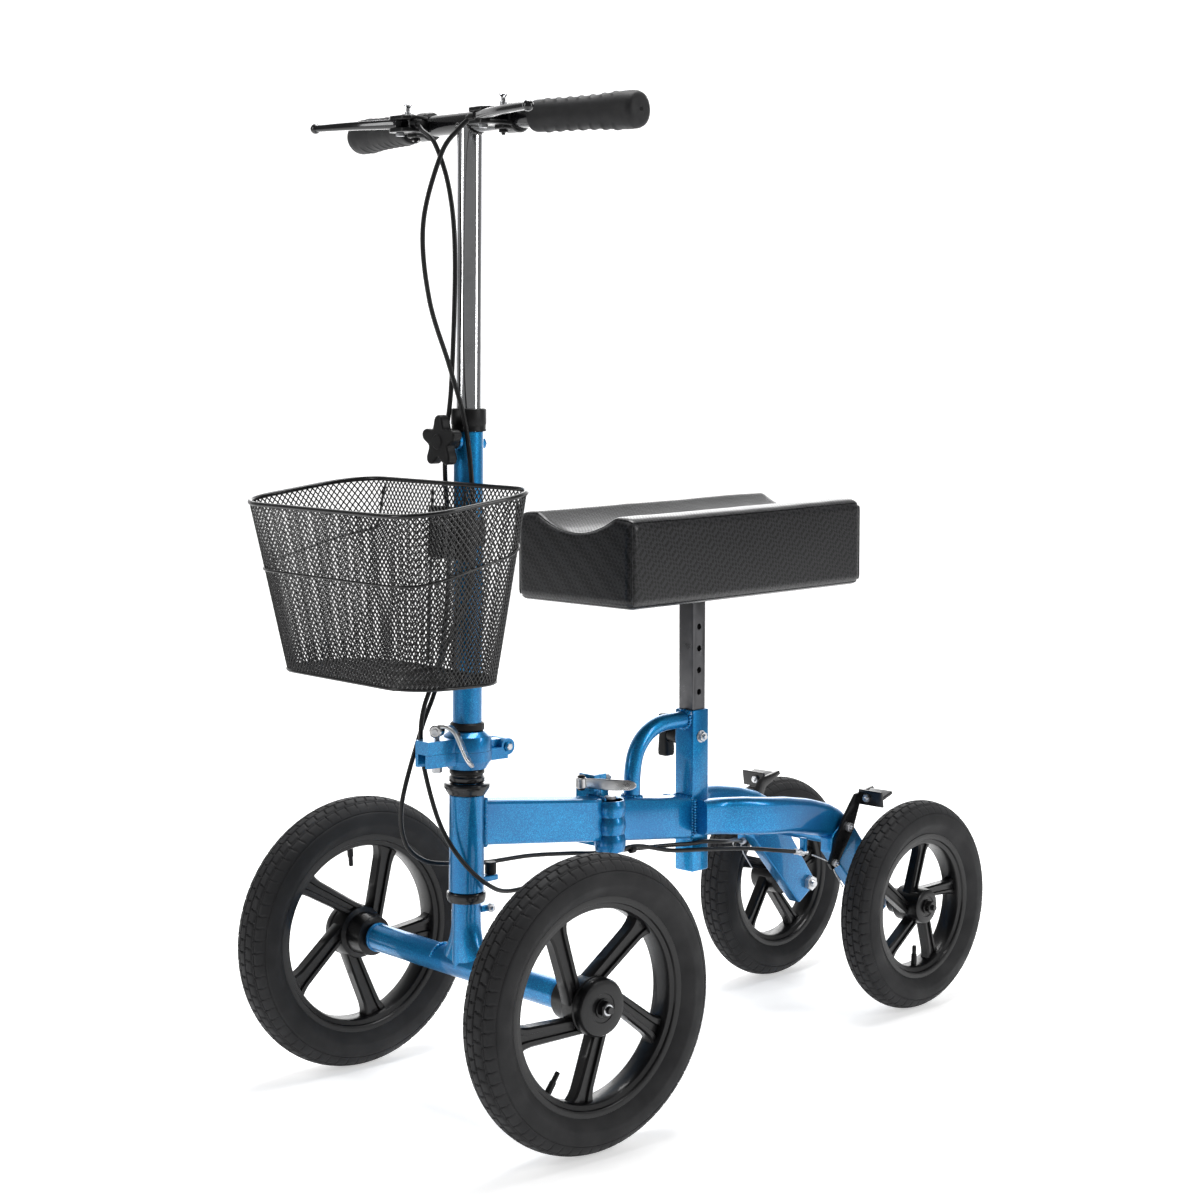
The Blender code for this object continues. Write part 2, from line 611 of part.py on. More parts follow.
def frame_joint():
    knuckle_edges = (0.2455, 0.2650, 0.2850, 0.3035)
    front_half = joint_casting("frame_joint_front", front, HINGE_Y - 0.0003, HINGE_Y - 0.0095,
                               [(knuckle_edges[1] + GAP, knuckle_edges[2] - GAP)])
    rear_half = joint_casting("frame_joint_rear", base, HINGE_Y + 0.0003, HINGE_Y + 0.0095,
                              [(knuckle_edges[0], knuckle_edges[1]), (knuckle_edges[2], knuckle_edges[3])])
    clamp_hole = cylinder("frame_clamp_hole", 0.0033, 0.03, BLUE, 16)
    cut(front_half, place(clamp_hole, front, (FRAME_CLAMP_X, HINGE_Y - 0.006, FRAME_CLAMP_Z), ALONG_Y))
    slot = block("frame_clamp_slot", (0.060, 0.04, 0.0130), BLUE)
    cut(rear_half, place(slot, base, (FRAME_CLAMP_X - 0.0240, HINGE_Y + 0.0150, FRAME_CLAMP_Z)))
    pin_profile = [(0, 0.3075), (0.0065, 0.3075), (0.0065, 0.3039), (0.0040, 0.3039), (0.0040, 0.2451),
                   (0.0065, 0.2451), (0.0065, 0.2410), (0, 0.2410)]
    place(turned("frame_hinge_pin", pin_profile, ZINC, 16), base, (HINGE_X, HINGE_Y, 0))
    cam_y = HINGE_Y - 0.0180
    skewer_profile = [(0, 0.0280), (0.0052, 0.0280), (0.0052, 0.0205), (0.0028, 0.0205),
                      (0.0028, -0.0085), (0, -0.0085)]
    skewer = turned("frame_clamp_skewer", skewer_profile, ZINC, 14)
    place(skewer, front, (FRAME_CLAMP_X, HINGE_Y - 0.0030, FRAME_CLAMP_Z), ALONG_Y)
    lever_frame = Frame("frame_clamp_axis", front, (FRAME_CLAMP_X, cam_y, FRAME_CLAMP_Z))
    cam = cylinder("frame_clamp_lever", 0.0058, 0.0170, CHROME, 20)
    place(cam, lever_frame, (FRAME_CLAMP_X, cam_y, FRAME_CLAMP_Z))
    join(cam, lever_blade("frame_clamp_blade", lever_frame, (FRAME_CLAMP_X, cam_y, FRAME_CLAMP_Z),
                          (0.866, 0.5), 0.062, 0.0125))


def lever_blade(name, frame, at, heading, length, width):
    """A thin curved blade that leaves a cam sideways; heading is its direction seen from above."""
    count = 8
    outer, inner = [], []
    for i in range(count + 1):
        t = i / count
        along = 0.003 + t * length
        bow = -0.0045 * sin(pi * t)
        outer.append((along, bow + 0.0014))
        inner.append((along, bow - 0.0014))
    blade = plate(name, outer[::-1] + inner, width, CHROME)
    place(blade, frame, at, (0, 0, atan2(heading[1], heading[0])))
    return blade


# ---------------------------------------------------------------- front frame and headset


def front_frame():
    beam = sloped_beam("front_beam", front, 0.0, 0.21)
    cut(beam, level_end("front_beam_back_trim", front, HINGE_Y - 0.0098, 1))
    cut(beam, hinge_clearance("front_beam_hinge_clearance", front))
    saddle = cylinder("front_beam_saddle", HEAD_TUBE_RADIUS + GAP, 0.3, BLUE, 40)
    cut(beam, place(saddle, head, (0, 0, 0.3)))
    tube_front = block("front_beam_front_trim", (0.1, 0.05, 0.2), BLUE)
    cut(beam, place(tube_front, head, (0, -0.025, 0.3)))
    place(tube_ring("head_tube", HEAD_TUBE_RADIUS, 0.0160, HEAD_TUBE_BOTTOM, HEAD_TUBE_TOP, BLUE, 32), head)
    upper = [(0.0232, 0.3494), (0.0243, 0.3480), (0.0243, 0.3440), (0.0215, 0.3400),
             (0.0200, HEAD_TUBE_TOP + GAP), (0.0158, HEAD_TUBE_TOP + GAP), (0.0158, 0.3494)]
    place(turned("headset_upper_cup", upper, BLACK_STEEL, 28, True), head)
    lower = [(0.0205, HEAD_TUBE_BOTTOM - GAP), (0.0208, 0.2260), (0.0195, 0.2218), (0.0158, 0.2218),
             (0.0158, HEAD_TUBE_BOTTOM - GAP)]
    place(turned("headset_lower_cup", lower, BLACK_STEEL, 28, True), head)


# ---------------------------------------------------------------- fork and folding column


def fork():
    """Steerer, axle tube and gusset in one weldment, with the front axle through it."""
    steerer = cylinder("fork", STEERER_RADIUS, 0.3644 - 0.1500, BLUE, 28)
    place(steerer, steer, (0, 0, (0.3644 + 0.1500) / 2))
    axle_z = FRONT_TYRE_RADIUS
    tube = cylinder("fork_axle_tube", AXLE_TUBE_RADIUS, 2 * AXLE_TUBE_HALF, BLUE, 28)
    join(steerer, place(tube, steer, (0, 0, axle_z), ALONG_X))
    gusset = [(-0.036, axle_z + 0.010), (0.036, axle_z + 0.010), (0.0158, 0.2020), (-0.0158, 0.2020)]
    web = plate("fork_gusset", gusset, 0.0200, BLUE)
    join(steerer, place(web, steer, (0, 0, 0), (pi / 2, 0, 0)))
    bore = cylinder("fork_axle_bore", FRONT_BORE, 0.5, BLUE, 16)
    cut(steerer, place(bore, steer, (0, 0, axle_z), ALONG_X))
    half = FRONT_TRACK / 2 + 0.0325
    nut = half - 0.0090
    profile = [(0, half), (0.0092, half), (0.0092, nut), (0.0060, nut), (0.0060, -nut), (0.0092, -nut),
               (0.0092, -half), (0, -half)]
    place(turned("front_axle", profile, ZINC, 16), steer, (0, 0, axle_z), ALONG_X)
    spacer = [(0.0175, 0.3646), (0.0186, 0.3630), (0.0186, 0.3600), (0.0172, 0.3580), (0.0186, 0.3560),
              (0.0186, 0.3520), (0.0175, 0.3500), (0.0156, 0.3500), (0.0156, 0.3646)]
    place(turned("headset_locknut", spacer, BLACK_STEEL, 24, True), steer)


def lug(name, frame, forward, low, high, width):
    """A flat ear that reaches out of a casting towards the front."""
    ear = block(name, (width, forward - 0.012, high - low), BLUE)
    return place(ear, frame, (0, -(forward + 0.012) / 2, (low + high) / 2))


def column_joint():
    """The two castings of the column's folding joint; the hinge is behind and the clamp in front."""
    casting_radius, ear_radius = 0.0262, 0.0090
    lower = turned("fold_casting_lower", [(0, SPLIT_Z - 0.00015), (casting_radius, SPLIT_Z - 0.00015),
                                          (casting_radius, 0.3740), (0.0205, 0.3652), (0, 0.3652)], BLUE, 32)
    place(lower, steer)
    join(lower, lug("fold_lower_lug", steer, 0.0600, 0.3710, SPLIT_Z - 0.00015, 0.0220))
    upper = turned("fold_casting_upper", [(0, 0.4050), (0.0185, 0.4050), (0.0250, 0.4000),
                                          (casting_radius, 0.3950), (casting_radius, SPLIT_Z + 0.00015),
                                          (0, SPLIT_Z + 0.00015)], BLUE, 32)
    place(upper, stem)
    join(upper, lug("fold_upper_lug", stem, 0.0600, SPLIT_Z + 0.00015, 0.3990, 0.0220))
    web = block("fold_upper_web", (0.0110, 0.0300, 0.0080), BLUE)
    join(upper, place(web, stem, (0, 0.0310, SPLIT_Z + 0.00415)))
    knuckle = cylinder("fold_upper_knuckle", ear_radius, 0.0110, BLUE, 24)
    join(upper, place(knuckle, stem, (0, FOLD_PIN_BACK, SPLIT_Z), ALONG_X))
    for label, side in SIDES:
        x = side * 0.0091
        bar = block(f"fold_lower_web_{label}", (0.0064, 0.0300, 0.0124), BLUE)
        join(lower, place(bar, steer, (x, 0.0310, SPLIT_Z - 0.00640)))
        ear = cylinder(f"fold_lower_ear_{label}", ear_radius, 0.0064, BLUE, 24)
        join(lower, place(ear, steer, (x, FOLD_PIN_BACK, SPLIT_Z), ALONG_X))
    relief = cylinder("fold_knuckle_relief", ear_radius + 0.0005, 0.0118, BLUE, 24)
    cut(lower, place(relief, steer, (0, FOLD_PIN_BACK, SPLIT_Z), ALONG_X))
    for part, frame, label in ((lower, steer, "lower"), (upper, stem, "upper")):
        hole = cylinder(f"fold_pin_hole_{label}", FOLD_PIN_RADIUS + 0.0003, 0.05, BLUE, 16)
        cut(part, place(hole, frame, (0, FOLD_PIN_BACK, SPLIT_Z), ALONG_X))
    reach = 0.0123 + GAP
    profile = [(0, reach + 0.0030), (0.0055, reach + 0.0030), (0.0055, reach), (FOLD_PIN_RADIUS, reach),
               (FOLD_PIN_RADIUS, -reach), (0.0055, -reach), (0.0055, -reach - 0.0030), (0, -reach - 0.0030)]
    place(turned("fold_pin", profile, ZINC, 16), steer, (0, FOLD_PIN_BACK, SPLIT_Z), ALONG_X)
    skewer_hole = cylinder("stem_clamp_hole", 0.0030, 0.05, BLUE, 16)
    cut(upper, place(skewer_hole, stem, (0, -CLAMP_FORWARD, 0.3920)))
    slot = block("stem_clamp_slot", (0.0124, 0.0400, 0.05), BLUE)
    cut(lower, place(slot, steer, (0, -CLAMP_FORWARD - 0.0125, 0.3700)))


def stem_clamp():
    """Skewer and nut through the front lugs, and the cam lever on top of them."""
    cam_z = 0.4080
    profile = [(0, cam_z - 0.0066), (0.0026, cam_z - 0.0066), (0.0026, 0.3706), (0.0054, 0.3706),
               (0.0054, 0.3640), (0, 0.3640)]
    place(turned("stem_clamp_skewer", profile, ZINC, 14), stem, (0, -CLAMP_FORWARD, 0))
    heading = Vector((0.83, 0.56))
    heading.normalize()
    turn = atan2(heading[1], heading[0])
    frame = Frame("stem_clamp_axis", stem, (0, -CLAMP_FORWARD, cam_z))
    cam = cylinder("stem_clamp_lever", 0.0062, 0.0150, CHROME, 20)
    place(cam, frame, (0, -CLAMP_FORWARD, cam_z), Euler((pi / 2, 0, turn)))
    blade_points = [(0.003, 0.0030), (0.016, 0.0030), (0.024, -0.0080), (0.031, -0.0240), (0.040, -0.0360)]
    outline = [(x, z + 0.0015) for x, z in blade_points] + [(x - 0.0026, z - 0.0015) for x,
               z in blade_points[::-1]]
    blade = plate("stem_clamp_blade", outline[::-1], 0.0115, CHROME)
    join(cam, place(blade, frame, (0, -CLAMP_FORWARD, cam_z), Euler((pi / 2, 0, turn))))


def stem_tubes():
    inner = UPPER_TUBE_RADIUS + 0.0005
    place(tube_ring("stem_tube", STEM_RADIUS, inner, 0.4053, STEM_TOP, BLUE, 28), stem)
    collar = [(0.0184, 0.7450), (0.0184, STEM_TOP + 0.0010), (0.0178, STEM_TOP + GAP),
              (inner - 0.0002, STEM_TOP + GAP), (inner - 0.0002, 0.7450)]
    place(turned("stem_collar", collar, BLACK_PLASTIC, 28, True), stem)
    top = BAR_Z - 0.004
    bottom = 0.640
    upper = cylinder("handlebar_post", UPPER_TUBE_RADIUS, top - bottom, CHROME, 28)
    place(upper, handlebar, (0, 0, (top + bottom) / 2))
    saddle = cylinder("handlebar_post_saddle", BAR_RADIUS + GAP, 0.1, CHROME, 28)
    cut(upper, place(saddle, handlebar, (0, 0, BAR_Z), ALONG_X))
    above = block("handlebar_post_top_trim", (0.1, 0.1, 0.05), CHROME)
    cut(upper, place(above, handlebar, (0, 0, BAR_Z + 0.0250)))


def stem_knob():
    """The five-lobed knob that clamps the handlebar's height."""
    z = 0.7107
    frame = Frame("stem_knob_axis", stem, (0, -0.030, z))
    hub = cylinder("stem_knob", 0.0082, 0.0160, BLACK_PLASTIC, 20)
    place(hub, frame, (0, -(STEM_RADIUS + GAP + 0.0080), z), ALONG_Y)
    outline = []
    for k in range(5):
        a = 90 + 72 * k
        tip = (0.0215 * cos(radians(a)), 0.0215 * sin(radians(a)))
        outline += arc(*tip, 0.0065, a - 75, a + 75, 4)
        notch = radians(a + 36)
        outline.append((0.0145 * cos(notch), 0.0145 * sin(notch)))
    star = plate("stem_knob_star", outline, 0.0125, BLACK_PLASTIC)
    join(hub, place(star, frame, (0, -0.0352, z), (pi / 2, 0, 0)))


# ---------------------------------------------------------------- handlebar


def bar_point(x):
    """The bar's middle line: straight in the middle, swept back under the grips."""
    slope = BAR_SWEEP / (GRIP_END - 0.088)
    away = abs(x) - 0.078
    if away <= 0:
        return (x, 0, BAR_Z)
    if away < 0.020:
        return (x, slope * away * away / 0.040, BAR_Z)
    return (x, slope * (away - 0.010), BAR_Z)


def bar_and_grips():
    reach = GRIP_END - 0.0055
    stops = [-reach, -0.098, -0.093, -0.088, -0.083, -0.078, 0, 0.078, 0.083, 0.088, 0.093, 0.098, reach]
    bar = as_mesh(rod("handlebar", [bar_point(x) for x in stops], BAR_RADIUS, BLACK_STEEL, 5))
    place(bar, handlebar)
    slope = atan2(BAR_SWEEP, GRIP_END - 0.088)
    length = (GRIP_END - GRIP_START) / cos(slope)
    bore = BAR_RADIUS + 0.0004
    profile = [(0, length), (0.0120, length), (0.0175, length - 0.0045), (0.0190, length - 0.0110),
               (0.0186, length - 0.0220), (0.0165, length - 0.0450), (0.0160, 0.0300), (0.0163, 0.0040),
               (0.0155, 0), (bore, 0), (bore, length - 0.0040), (0, length - 0.0040)]
    for label, side in SIDES:
        grip = turned(f"grip_{label}", profile, RUBBER, 24)
        start = bar_point(side * GRIP_START)
        turn = Matrix.Rotation(slope * side, 3, "Z") @ Matrix.Rotation(pi / 2 * side, 3, "Y")
        place(grip, handlebar, start, turn.to_euler())


LEVER_PIVOT = (0.0700, -0.0380)
LEVER_TIP = (0.1780, -0.0700)


def lever_bracket(label, side):
    """Clamp round the bar, arm to the pivot, and the bore of the parking pin."""
    ring_x = 0.0730
    clamp = cylinder(f"lever_bracket_{label}", 0.0158, 0.0230, BLACK_STEEL, 24)
    place(clamp, handlebar, (side * ring_x, 0, BAR_Z), ALONG_X)
    body = block(f"lever_bracket_arm_{label}", (0.0230, 0.0380, 0.0190), BLACK_STEEL)
    join(clamp, place(body, handlebar, (side * ring_x, -0.0290, BAR_Z)))
    nose = block(f"lever_bracket_nose_{label}", (0.0180, 0.0130, 0.0120), BLACK_STEEL)
    join(clamp, place(nose, handlebar, (side * 0.0550, -0.0335, BAR_Z)))
    slot = block(f"lever_bracket_slot_{label}", (0.0400, 0.0300, 0.0078), BLACK_STEEL)
    cut(clamp, place(slot, handlebar, (side * (ring_x + 0.0040), -0.0400, BAR_Z)))
    bar_hole = cylinder(f"lever_bracket_bore_{label}", BAR_RADIUS + GAP, 0.05, BLACK_STEEL, 24)
    cut(clamp, place(bar_hole, handlebar, (side * ring_x, 0, BAR_Z), ALONG_X))
    pin_hole = cylinder(f"parking_pin_hole_{label}", 0.0026, 0.0200, BLACK_STEEL, 14)
    cut(clamp, place(pin_hole, handlebar, (side * 0.0800, -0.0205, BAR_Z + 0.0140)))


def brake_lever(label, side):
    """The hand lever: a boss in the bracket's slot, a curved blade and a ball end."""
    px, py = LEVER_PIVOT
    frame = Frame(f"brake_lever_{label}_axis", handlebar, (side * px, py, BAR_Z))
    boss = cylinder(f"brake_lever_{label}", 0.0068, 0.0068, BLACK_STEEL, 20)
    place(boss, frame, (side * px, py, BAR_Z))
    tip_x, tip_y = LEVER_TIP
    route = [(side * px, py), (side * 0.0900, -0.0480), (side * 0.1200, -0.0585), (side * 0.1500, -0.0650),
             (side * tip_x, tip_y)]
    points = [Vector((x, y, BAR_Z)) for x, y in route]
    blade = as_mesh(rod(f"brake_lever_blade_{label}", smooth_route(points, 0.012), 0.0036, BLACK_STEEL, 2))
    join(boss, place(blade, frame))
    ball = cylinder(f"brake_lever_end_{label}", 0.0062, 0.0100, BLACK_STEEL, 16)
    join(boss, place(ball, frame, (side * tip_x, tip_y, BAR_Z)))


def parking_pin(label, side):
    """The spring-loaded pin that holds a squeezed lever."""
    x, y, top = side * 0.0800, -0.0205, BAR_Z + 0.0230
    frame = Frame(f"parking_pin_{label}_axis", handlebar, (x, y, top))
    profile = [(0, top), (0.0042, top), (0.0042, top - 0.0025), (0.0022, top - 0.0045),
               (0.0022, BAR_Z + 0.0085), (0, BAR_Z + 0.0085)]
    place(turned(f"parking_pin_{label}", profile, ZINC, 14), frame, (x, y, 0))


# ---------------------------------------------------------------- basket


def rounded_rectangle(width, back, front_edge, radius, z, count=6):
    """Points round a basket level; back and front_edge are distances ahead of the column."""
    x, near, far = width / 2 - radius, -back - radius, -front_edge + radius
    points = arc(x, near, radius, 90, 0, count) + arc(x, far, radius, 0, -90, count)
    points += arc(-x, far, radius, -90, -180, count) + arc(-x, near, radius, 180, 90, count)
    return [(px, py, z) for px, py in points]


def basket():
    """A tapered tub, open at the top; the wall is a loft between two unlike rounded rectangles."""
    levels = [rounded_rectangle(0.2471, 0.0370, 0.1652, 0.046, 0.4720),
              rounded_rectangle(0.3169, 0.0255, 0.1896, 0.048, 0.6550)]
    mesh = bpy.data.meshes.new("basket")
    bm = bmesh.new()
    rings = [[bm.verts.new(p) for p in level] for level in levels]
    count = len(rings[0])
    for i in range(count):
        j = (i + 1) % count
        bm.faces.new((rings[0][i], rings[1][i], rings[1][j], rings[0][j]))
    bm.faces.new(rings[0])
    bmesh.ops.recalc_face_normals(bm, faces=bm.faces)
    bm.to_mesh(mesh)
    bm.free()
    tub = new_mesh_object("basket", mesh, BLACK_STEEL)
    shell = tub.modifiers.new("wall", "SOLIDIFY")
    shell.thickness = BASKET_WALL
    shell.offset = -1
    frame = Frame("basket_slide_axis", stem, (0, -0.030, 0.6))
    place(tub, frame)


def basket_bracket():
    """The plate that the basket hooks over, with its band round the column."""
    bracket = block("basket_bracket", (0.0740, 0.0035, 0.0560), BLACK_PLASTIC, 0.001)
    place(bracket, stem, (0, -0.0212, 0.6150))
    band = cylinder("basket_bracket_band", 0.0182, 0.0260, BLACK_PLASTIC, 28)
    join(bracket, place(band, stem, (0, 0, 0.6150)))
    boss = block("basket_bracket_boss", (0.0300, 0.0060, 0.0240), BLACK_PLASTIC)
    join(bracket, place(boss, stem, (0, -0.0190, 0.6150)))
    hole = cylinder("basket_bracket_bore", STEM_RADIUS + GAP, 0.1, BLACK_PLASTIC, 28)
    cut(bracket, place(hole, stem, (0, 0, 0.6150)))


# ---------------------------------------------------------------- brake cables

LEFT_STEERED = [(0.0428, -0.0340, 1.0400), (0.0360, -0.0420, 1.0300), (0.0240, -0.0560, 1.0040),
                (0.0100, -0.0680, 0.9330), (0.0050, -0.0560, 0.8570), (0.0100, -0.0330, 0.7880),
                (0.0170, -0.0180, 0.7300), (0.0195, -0.0110, 0.6700), (0.0200, -0.0080, 0.6150),
                (0.0180, -0.0100, 0.5620), (0.0060, -0.0195, 0.5220), (-0.0080, -0.0240, 0.4920),
                (-0.0150, -0.0330, 0.4600), (-0.0180, -0.0440, 0.4300), (-0.0190, -0.0470, 0.4000),
                (-0.0150, -0.0440, 0.3620), (-0.0020, -0.0340, 0.3080), (0.0190, -0.0220, 0.2720),
                (0.0270, 0.0060, 0.2440)]
LEFT_FRAME = [(0.0225, 0.0430, 0.2290), (0.0140, 0.1250, 0.2300), (0.0040, 0.1950, 0.2340),
              (0.0050, 0.2500, 0.2425), (0.0180, 0.3000, 0.2320), (0.0210, 0.3560, 0.2250),
              (0.0270, 0.4200, 0.2170), (0.0350, 0.4700, 0.2080), (0.0460, 0.5000, 0.2030)]
RIGHT_STEERED = [(-0.0428, -0.0340, 1.0400), (-0.0360, -0.0350, 1.0330), (-0.0200, -0.0300, 1.0180),
                 (-0.0060, -0.0220, 0.9700), (0.0000, -0.0190, 0.8990), (-0.0040, -0.0200, 0.7700),
                 (-0.0135, -0.0200, 0.7150), (-0.0190, -0.0165, 0.6860), (-0.0215, -0.0130, 0.6560),
                 (-0.0220, -0.0085, 0.6150), (-0.0225, -0.0090, 0.5600), (-0.0235, -0.0140, 0.5000),
                 (-0.0245, -0.0230, 0.4500), (-0.0275, -0.0400, 0.4060), (-0.0340, -0.0600, 0.3300),
                 (-0.0420, -0.0500, 0.2850), (-0.0430, -0.0250, 0.2620), (-0.0370, 0.0050, 0.2550)]
RIGHT_FRAME = [(-0.0300, 0.0540, 0.2500), (-0.0200, 0.1100, 0.2500), (-0.0130, 0.1650, 0.2450),
               (-0.0130, 0.2060, 0.2390), (-0.0060, 0.2500, 0.2370), (0.0080, 0.3000, 0.2360),
               (0.0176, 0.3350, 0.2345), (0.0190, 0.3600, 0.2335), (0.0160, 0.4000, 0.2270),
               (-0.0100, 0.4450, 0.2180), (-0.0350, 0.4800, 0.2080), (-0.0460, 0.5000, 0.2030)]


def brake_cable(label, steered, framed):
    route = smooth_route(from_steered(steered) + [Vector(p) for p in framed], 0.022)
    place(rod(f"brake_cable_{label}", route, CABLE_RADIUS, BLACK_PLASTIC, 2), front)


# ---------------------------------------------------------------- assembly

wheels()
rear_frame()
for side_label, side_sign in SIDES:
    brake_arm(side_label, side_sign)
knee_seat()
seat_knob()
frame_joint()
front_frame()
fork()
column_joint()
stem_clamp()
stem_tubes()
stem_knob()
bar_and_grips()
for side_label, side_sign in SIDES:
    lever_bracket(side_label, side_sign)
    brake_lever(side_label, side_sign)
    parking_pin(side_label, side_sign)
basket()
basket_bracket()
brake_cable("left", LEFT_STEERED, LEFT_FRAME)
brake_cable("right", RIGHT_STEERED, RIGHT_FRAME)
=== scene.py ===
"""Looks for the knee scooter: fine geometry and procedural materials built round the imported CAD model.

Level coordinates are square to the scooter, with y = 0 under the front axle. Steered coordinates
follow the handlebar: z is the steering axis, x is the rider's left and y is backwards. Head
coordinates lean with the head tube but don't turn with the handlebar.
"""

import json
from math import asin, atan2, cos, exp, hypot, pi, radians, sin, sqrt

import bmesh
import bpy
from mathutils import Euler, Matrix, Vector, noise


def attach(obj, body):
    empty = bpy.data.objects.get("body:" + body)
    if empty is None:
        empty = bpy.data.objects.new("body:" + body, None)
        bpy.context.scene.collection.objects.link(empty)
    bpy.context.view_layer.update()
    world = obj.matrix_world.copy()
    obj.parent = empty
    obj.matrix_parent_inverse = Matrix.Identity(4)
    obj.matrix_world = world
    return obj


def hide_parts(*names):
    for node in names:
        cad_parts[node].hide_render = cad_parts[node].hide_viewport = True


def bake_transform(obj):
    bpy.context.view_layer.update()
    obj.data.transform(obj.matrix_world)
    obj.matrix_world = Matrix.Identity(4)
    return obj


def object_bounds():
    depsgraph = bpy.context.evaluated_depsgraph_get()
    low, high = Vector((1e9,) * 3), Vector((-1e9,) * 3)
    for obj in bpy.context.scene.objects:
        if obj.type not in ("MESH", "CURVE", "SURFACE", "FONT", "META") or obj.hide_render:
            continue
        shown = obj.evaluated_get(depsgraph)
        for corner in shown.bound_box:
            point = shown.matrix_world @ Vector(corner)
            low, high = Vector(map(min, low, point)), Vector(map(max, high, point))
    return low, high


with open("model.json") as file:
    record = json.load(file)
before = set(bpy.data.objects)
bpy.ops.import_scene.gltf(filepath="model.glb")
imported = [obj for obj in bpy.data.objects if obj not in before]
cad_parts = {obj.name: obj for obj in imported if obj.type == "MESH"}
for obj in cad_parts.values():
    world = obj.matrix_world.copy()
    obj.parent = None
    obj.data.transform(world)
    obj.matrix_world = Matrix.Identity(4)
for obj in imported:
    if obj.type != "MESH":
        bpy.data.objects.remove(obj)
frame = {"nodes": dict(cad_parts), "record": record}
cad_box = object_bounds()

RECORD = frame["record"]
JOINTS = {joint["name"]: joint for joint in RECORD["behaviour"]["joints"]}
BODY_OF = {node: body for body, nodes in RECORD["behaviour"]["bodies"].items() for node in nodes}

# ---------------------------------------------------------------- coordinate systems and main sizes

STEER_UP = -Vector(JOINTS["steering"]["axis"]).normalized()
STEER_LEFT = Vector(JOINTS["wheel_front_left_spin"]["axis"]).normalized()
STEER_FOOT = Vector(JOINTS["steering"]["pos_m"])
STEERED = Matrix((STEER_LEFT, STEER_UP.cross(STEER_LEFT), STEER_UP)).transposed().to_4x4()
STEERED.translation = STEER_FOOT
LEVEL = Matrix.Translation((0, STEER_FOOT.y + 0.0044, 0))
HEAD = Matrix.Translation(STEER_FOOT) @ Matrix.Rotation(-asin(STEER_UP.y), 4, "X")
WORLD = Matrix.Identity(4)

ALONG_X = (0, pi / 2, 0)
ALONG_Y = (-pi / 2, 0, 0)
UPRIGHT = (0, 0, 0)
SIDES = (("left", 1), ("right", -1))

FRONT_RADIUS, FRONT_WIDTH, FRONT_RIM = 0.1525, 0.0525, 0.1103
REAR_RADIUS, REAR_WIDTH, REAR_RIM = 0.1273, 0.0475, 0.0871
FRONT_X, REAR_X, REAR_Y = 0.1992, 0.1122, 0.6375
FRONT_PITCHES, REAR_PITCHES = 68, 56        # tread blocks round each tyre
BEAM_START_Z, BEAM_SLOPE = 0.3073, 0.1305
HINGE_AT = (0.012, 0.206, 0)
FRAME_CLAMP_X, FRAME_CLAMP_Z = -0.015, 0.3215
SEAT_SCREW_Z = 0.353
FOLD_PIN_Y, STEM_CLAMP_Y = 0.046, -0.04
BRACKET_Z = 0.615
KNOB_Z = 0.7107
BAR_BEND, BAR_TIP, BAR_SWEEP = 0.088, 0.2335, 0.028
GRIP_START = 0.103
PARKING_PIN_X, PARKING_PIN_Y, PIN_HOLE_RADIUS = 0.08, -0.0205, 0.0026
SEAT_Y = 0.356
BAR_Z = 1.041
SPLIT_Z = 0.3846

# ---------------------------------------------------------------- materials


class Finish:
    """A procedural material; every texture is read from the object's own coordinates."""

    def __init__(self, name, slot, color, roughness, metallic=0.0, coat=0.0, coat_roughness=0.08,
                 specular=0.5):
        self.slot = slot
        self.material = bpy.data.materials.new(name)
        self.material.use_nodes = True
        self.nodes = self.material.node_tree.nodes
        self.links = self.material.node_tree.links
        self.shader = self.nodes["Principled BSDF"]
        self.color, self.roughness = color, roughness
        self.set("Base Color", (*color, 1))
        self.set("Roughness", roughness)
        self.set("Metallic", metallic)
        self.set("Coat Weight", coat)
        self.set("Coat Roughness", coat_roughness)
        self.set("Specular IOR Level", specular)
        self.coordinates = self.nodes.new("ShaderNodeTexCoord").outputs["Object"]
        self.heights = []

    def set(self, socket, value):
        self.shader.inputs[socket].default_value = value

    def texture(self, kind, scale, **inputs):
        node = self.nodes.new(kind)
        self.links.new(self.coordinates, node.inputs["Vector"])
        node.inputs["Scale"].default_value = scale
        for socket, value in inputs.items():
            node.inputs[socket].default_value = value
        return node

    def ramp(self, source, low, high, dark, light):
        node = self.nodes.new("ShaderNodeMapRange")
        self.links.new(source, node.inputs["Value"])
        for socket, value in zip(("From Min", "From Max", "To Min", "To Max"), (low, high, dark, light)):
            node.inputs[socket].default_value = value
        return node.outputs["Result"]

    def vary_color(self, source, low, high, other):
        """Mix towards another colour where the texture is high."""
        mix = self.nodes.new("ShaderNodeMix")
        mix.data_type = "RGBA"
        self.links.new(self.ramp(source, low, high, 0, 1), mix.inputs["Factor"])
        feed = self.shader.inputs["Base Color"]
        if feed.is_linked:
            self.links.new(feed.links[0].from_socket, mix.inputs["A"])
        else:
            mix.inputs["A"].default_value = (*self.color, 1)
        mix.inputs["B"].default_value = (*other, 1)
        self.links.new(mix.outputs["Result"], feed)

    def vary_roughness(self, source, low, high, smooth, rough):
        self.links.new(self.ramp(source, low, high, smooth, rough), self.shader.inputs["Roughness"])

    def bump(self, source, height, strength=1.0):
        node = self.nodes.new("ShaderNodeBump")
        node.inputs["Strength"].default_value = strength
        node.inputs["Distance"].default_value = height
        self.links.new(source, node.inputs["Height"])
        feed = self.shader.inputs["Normal"]
        if feed.is_linked:
            self.links.new(feed.links[0].from_socket, node.inputs["Normal"])
        self.links.new(node.outputs["Normal"], feed)


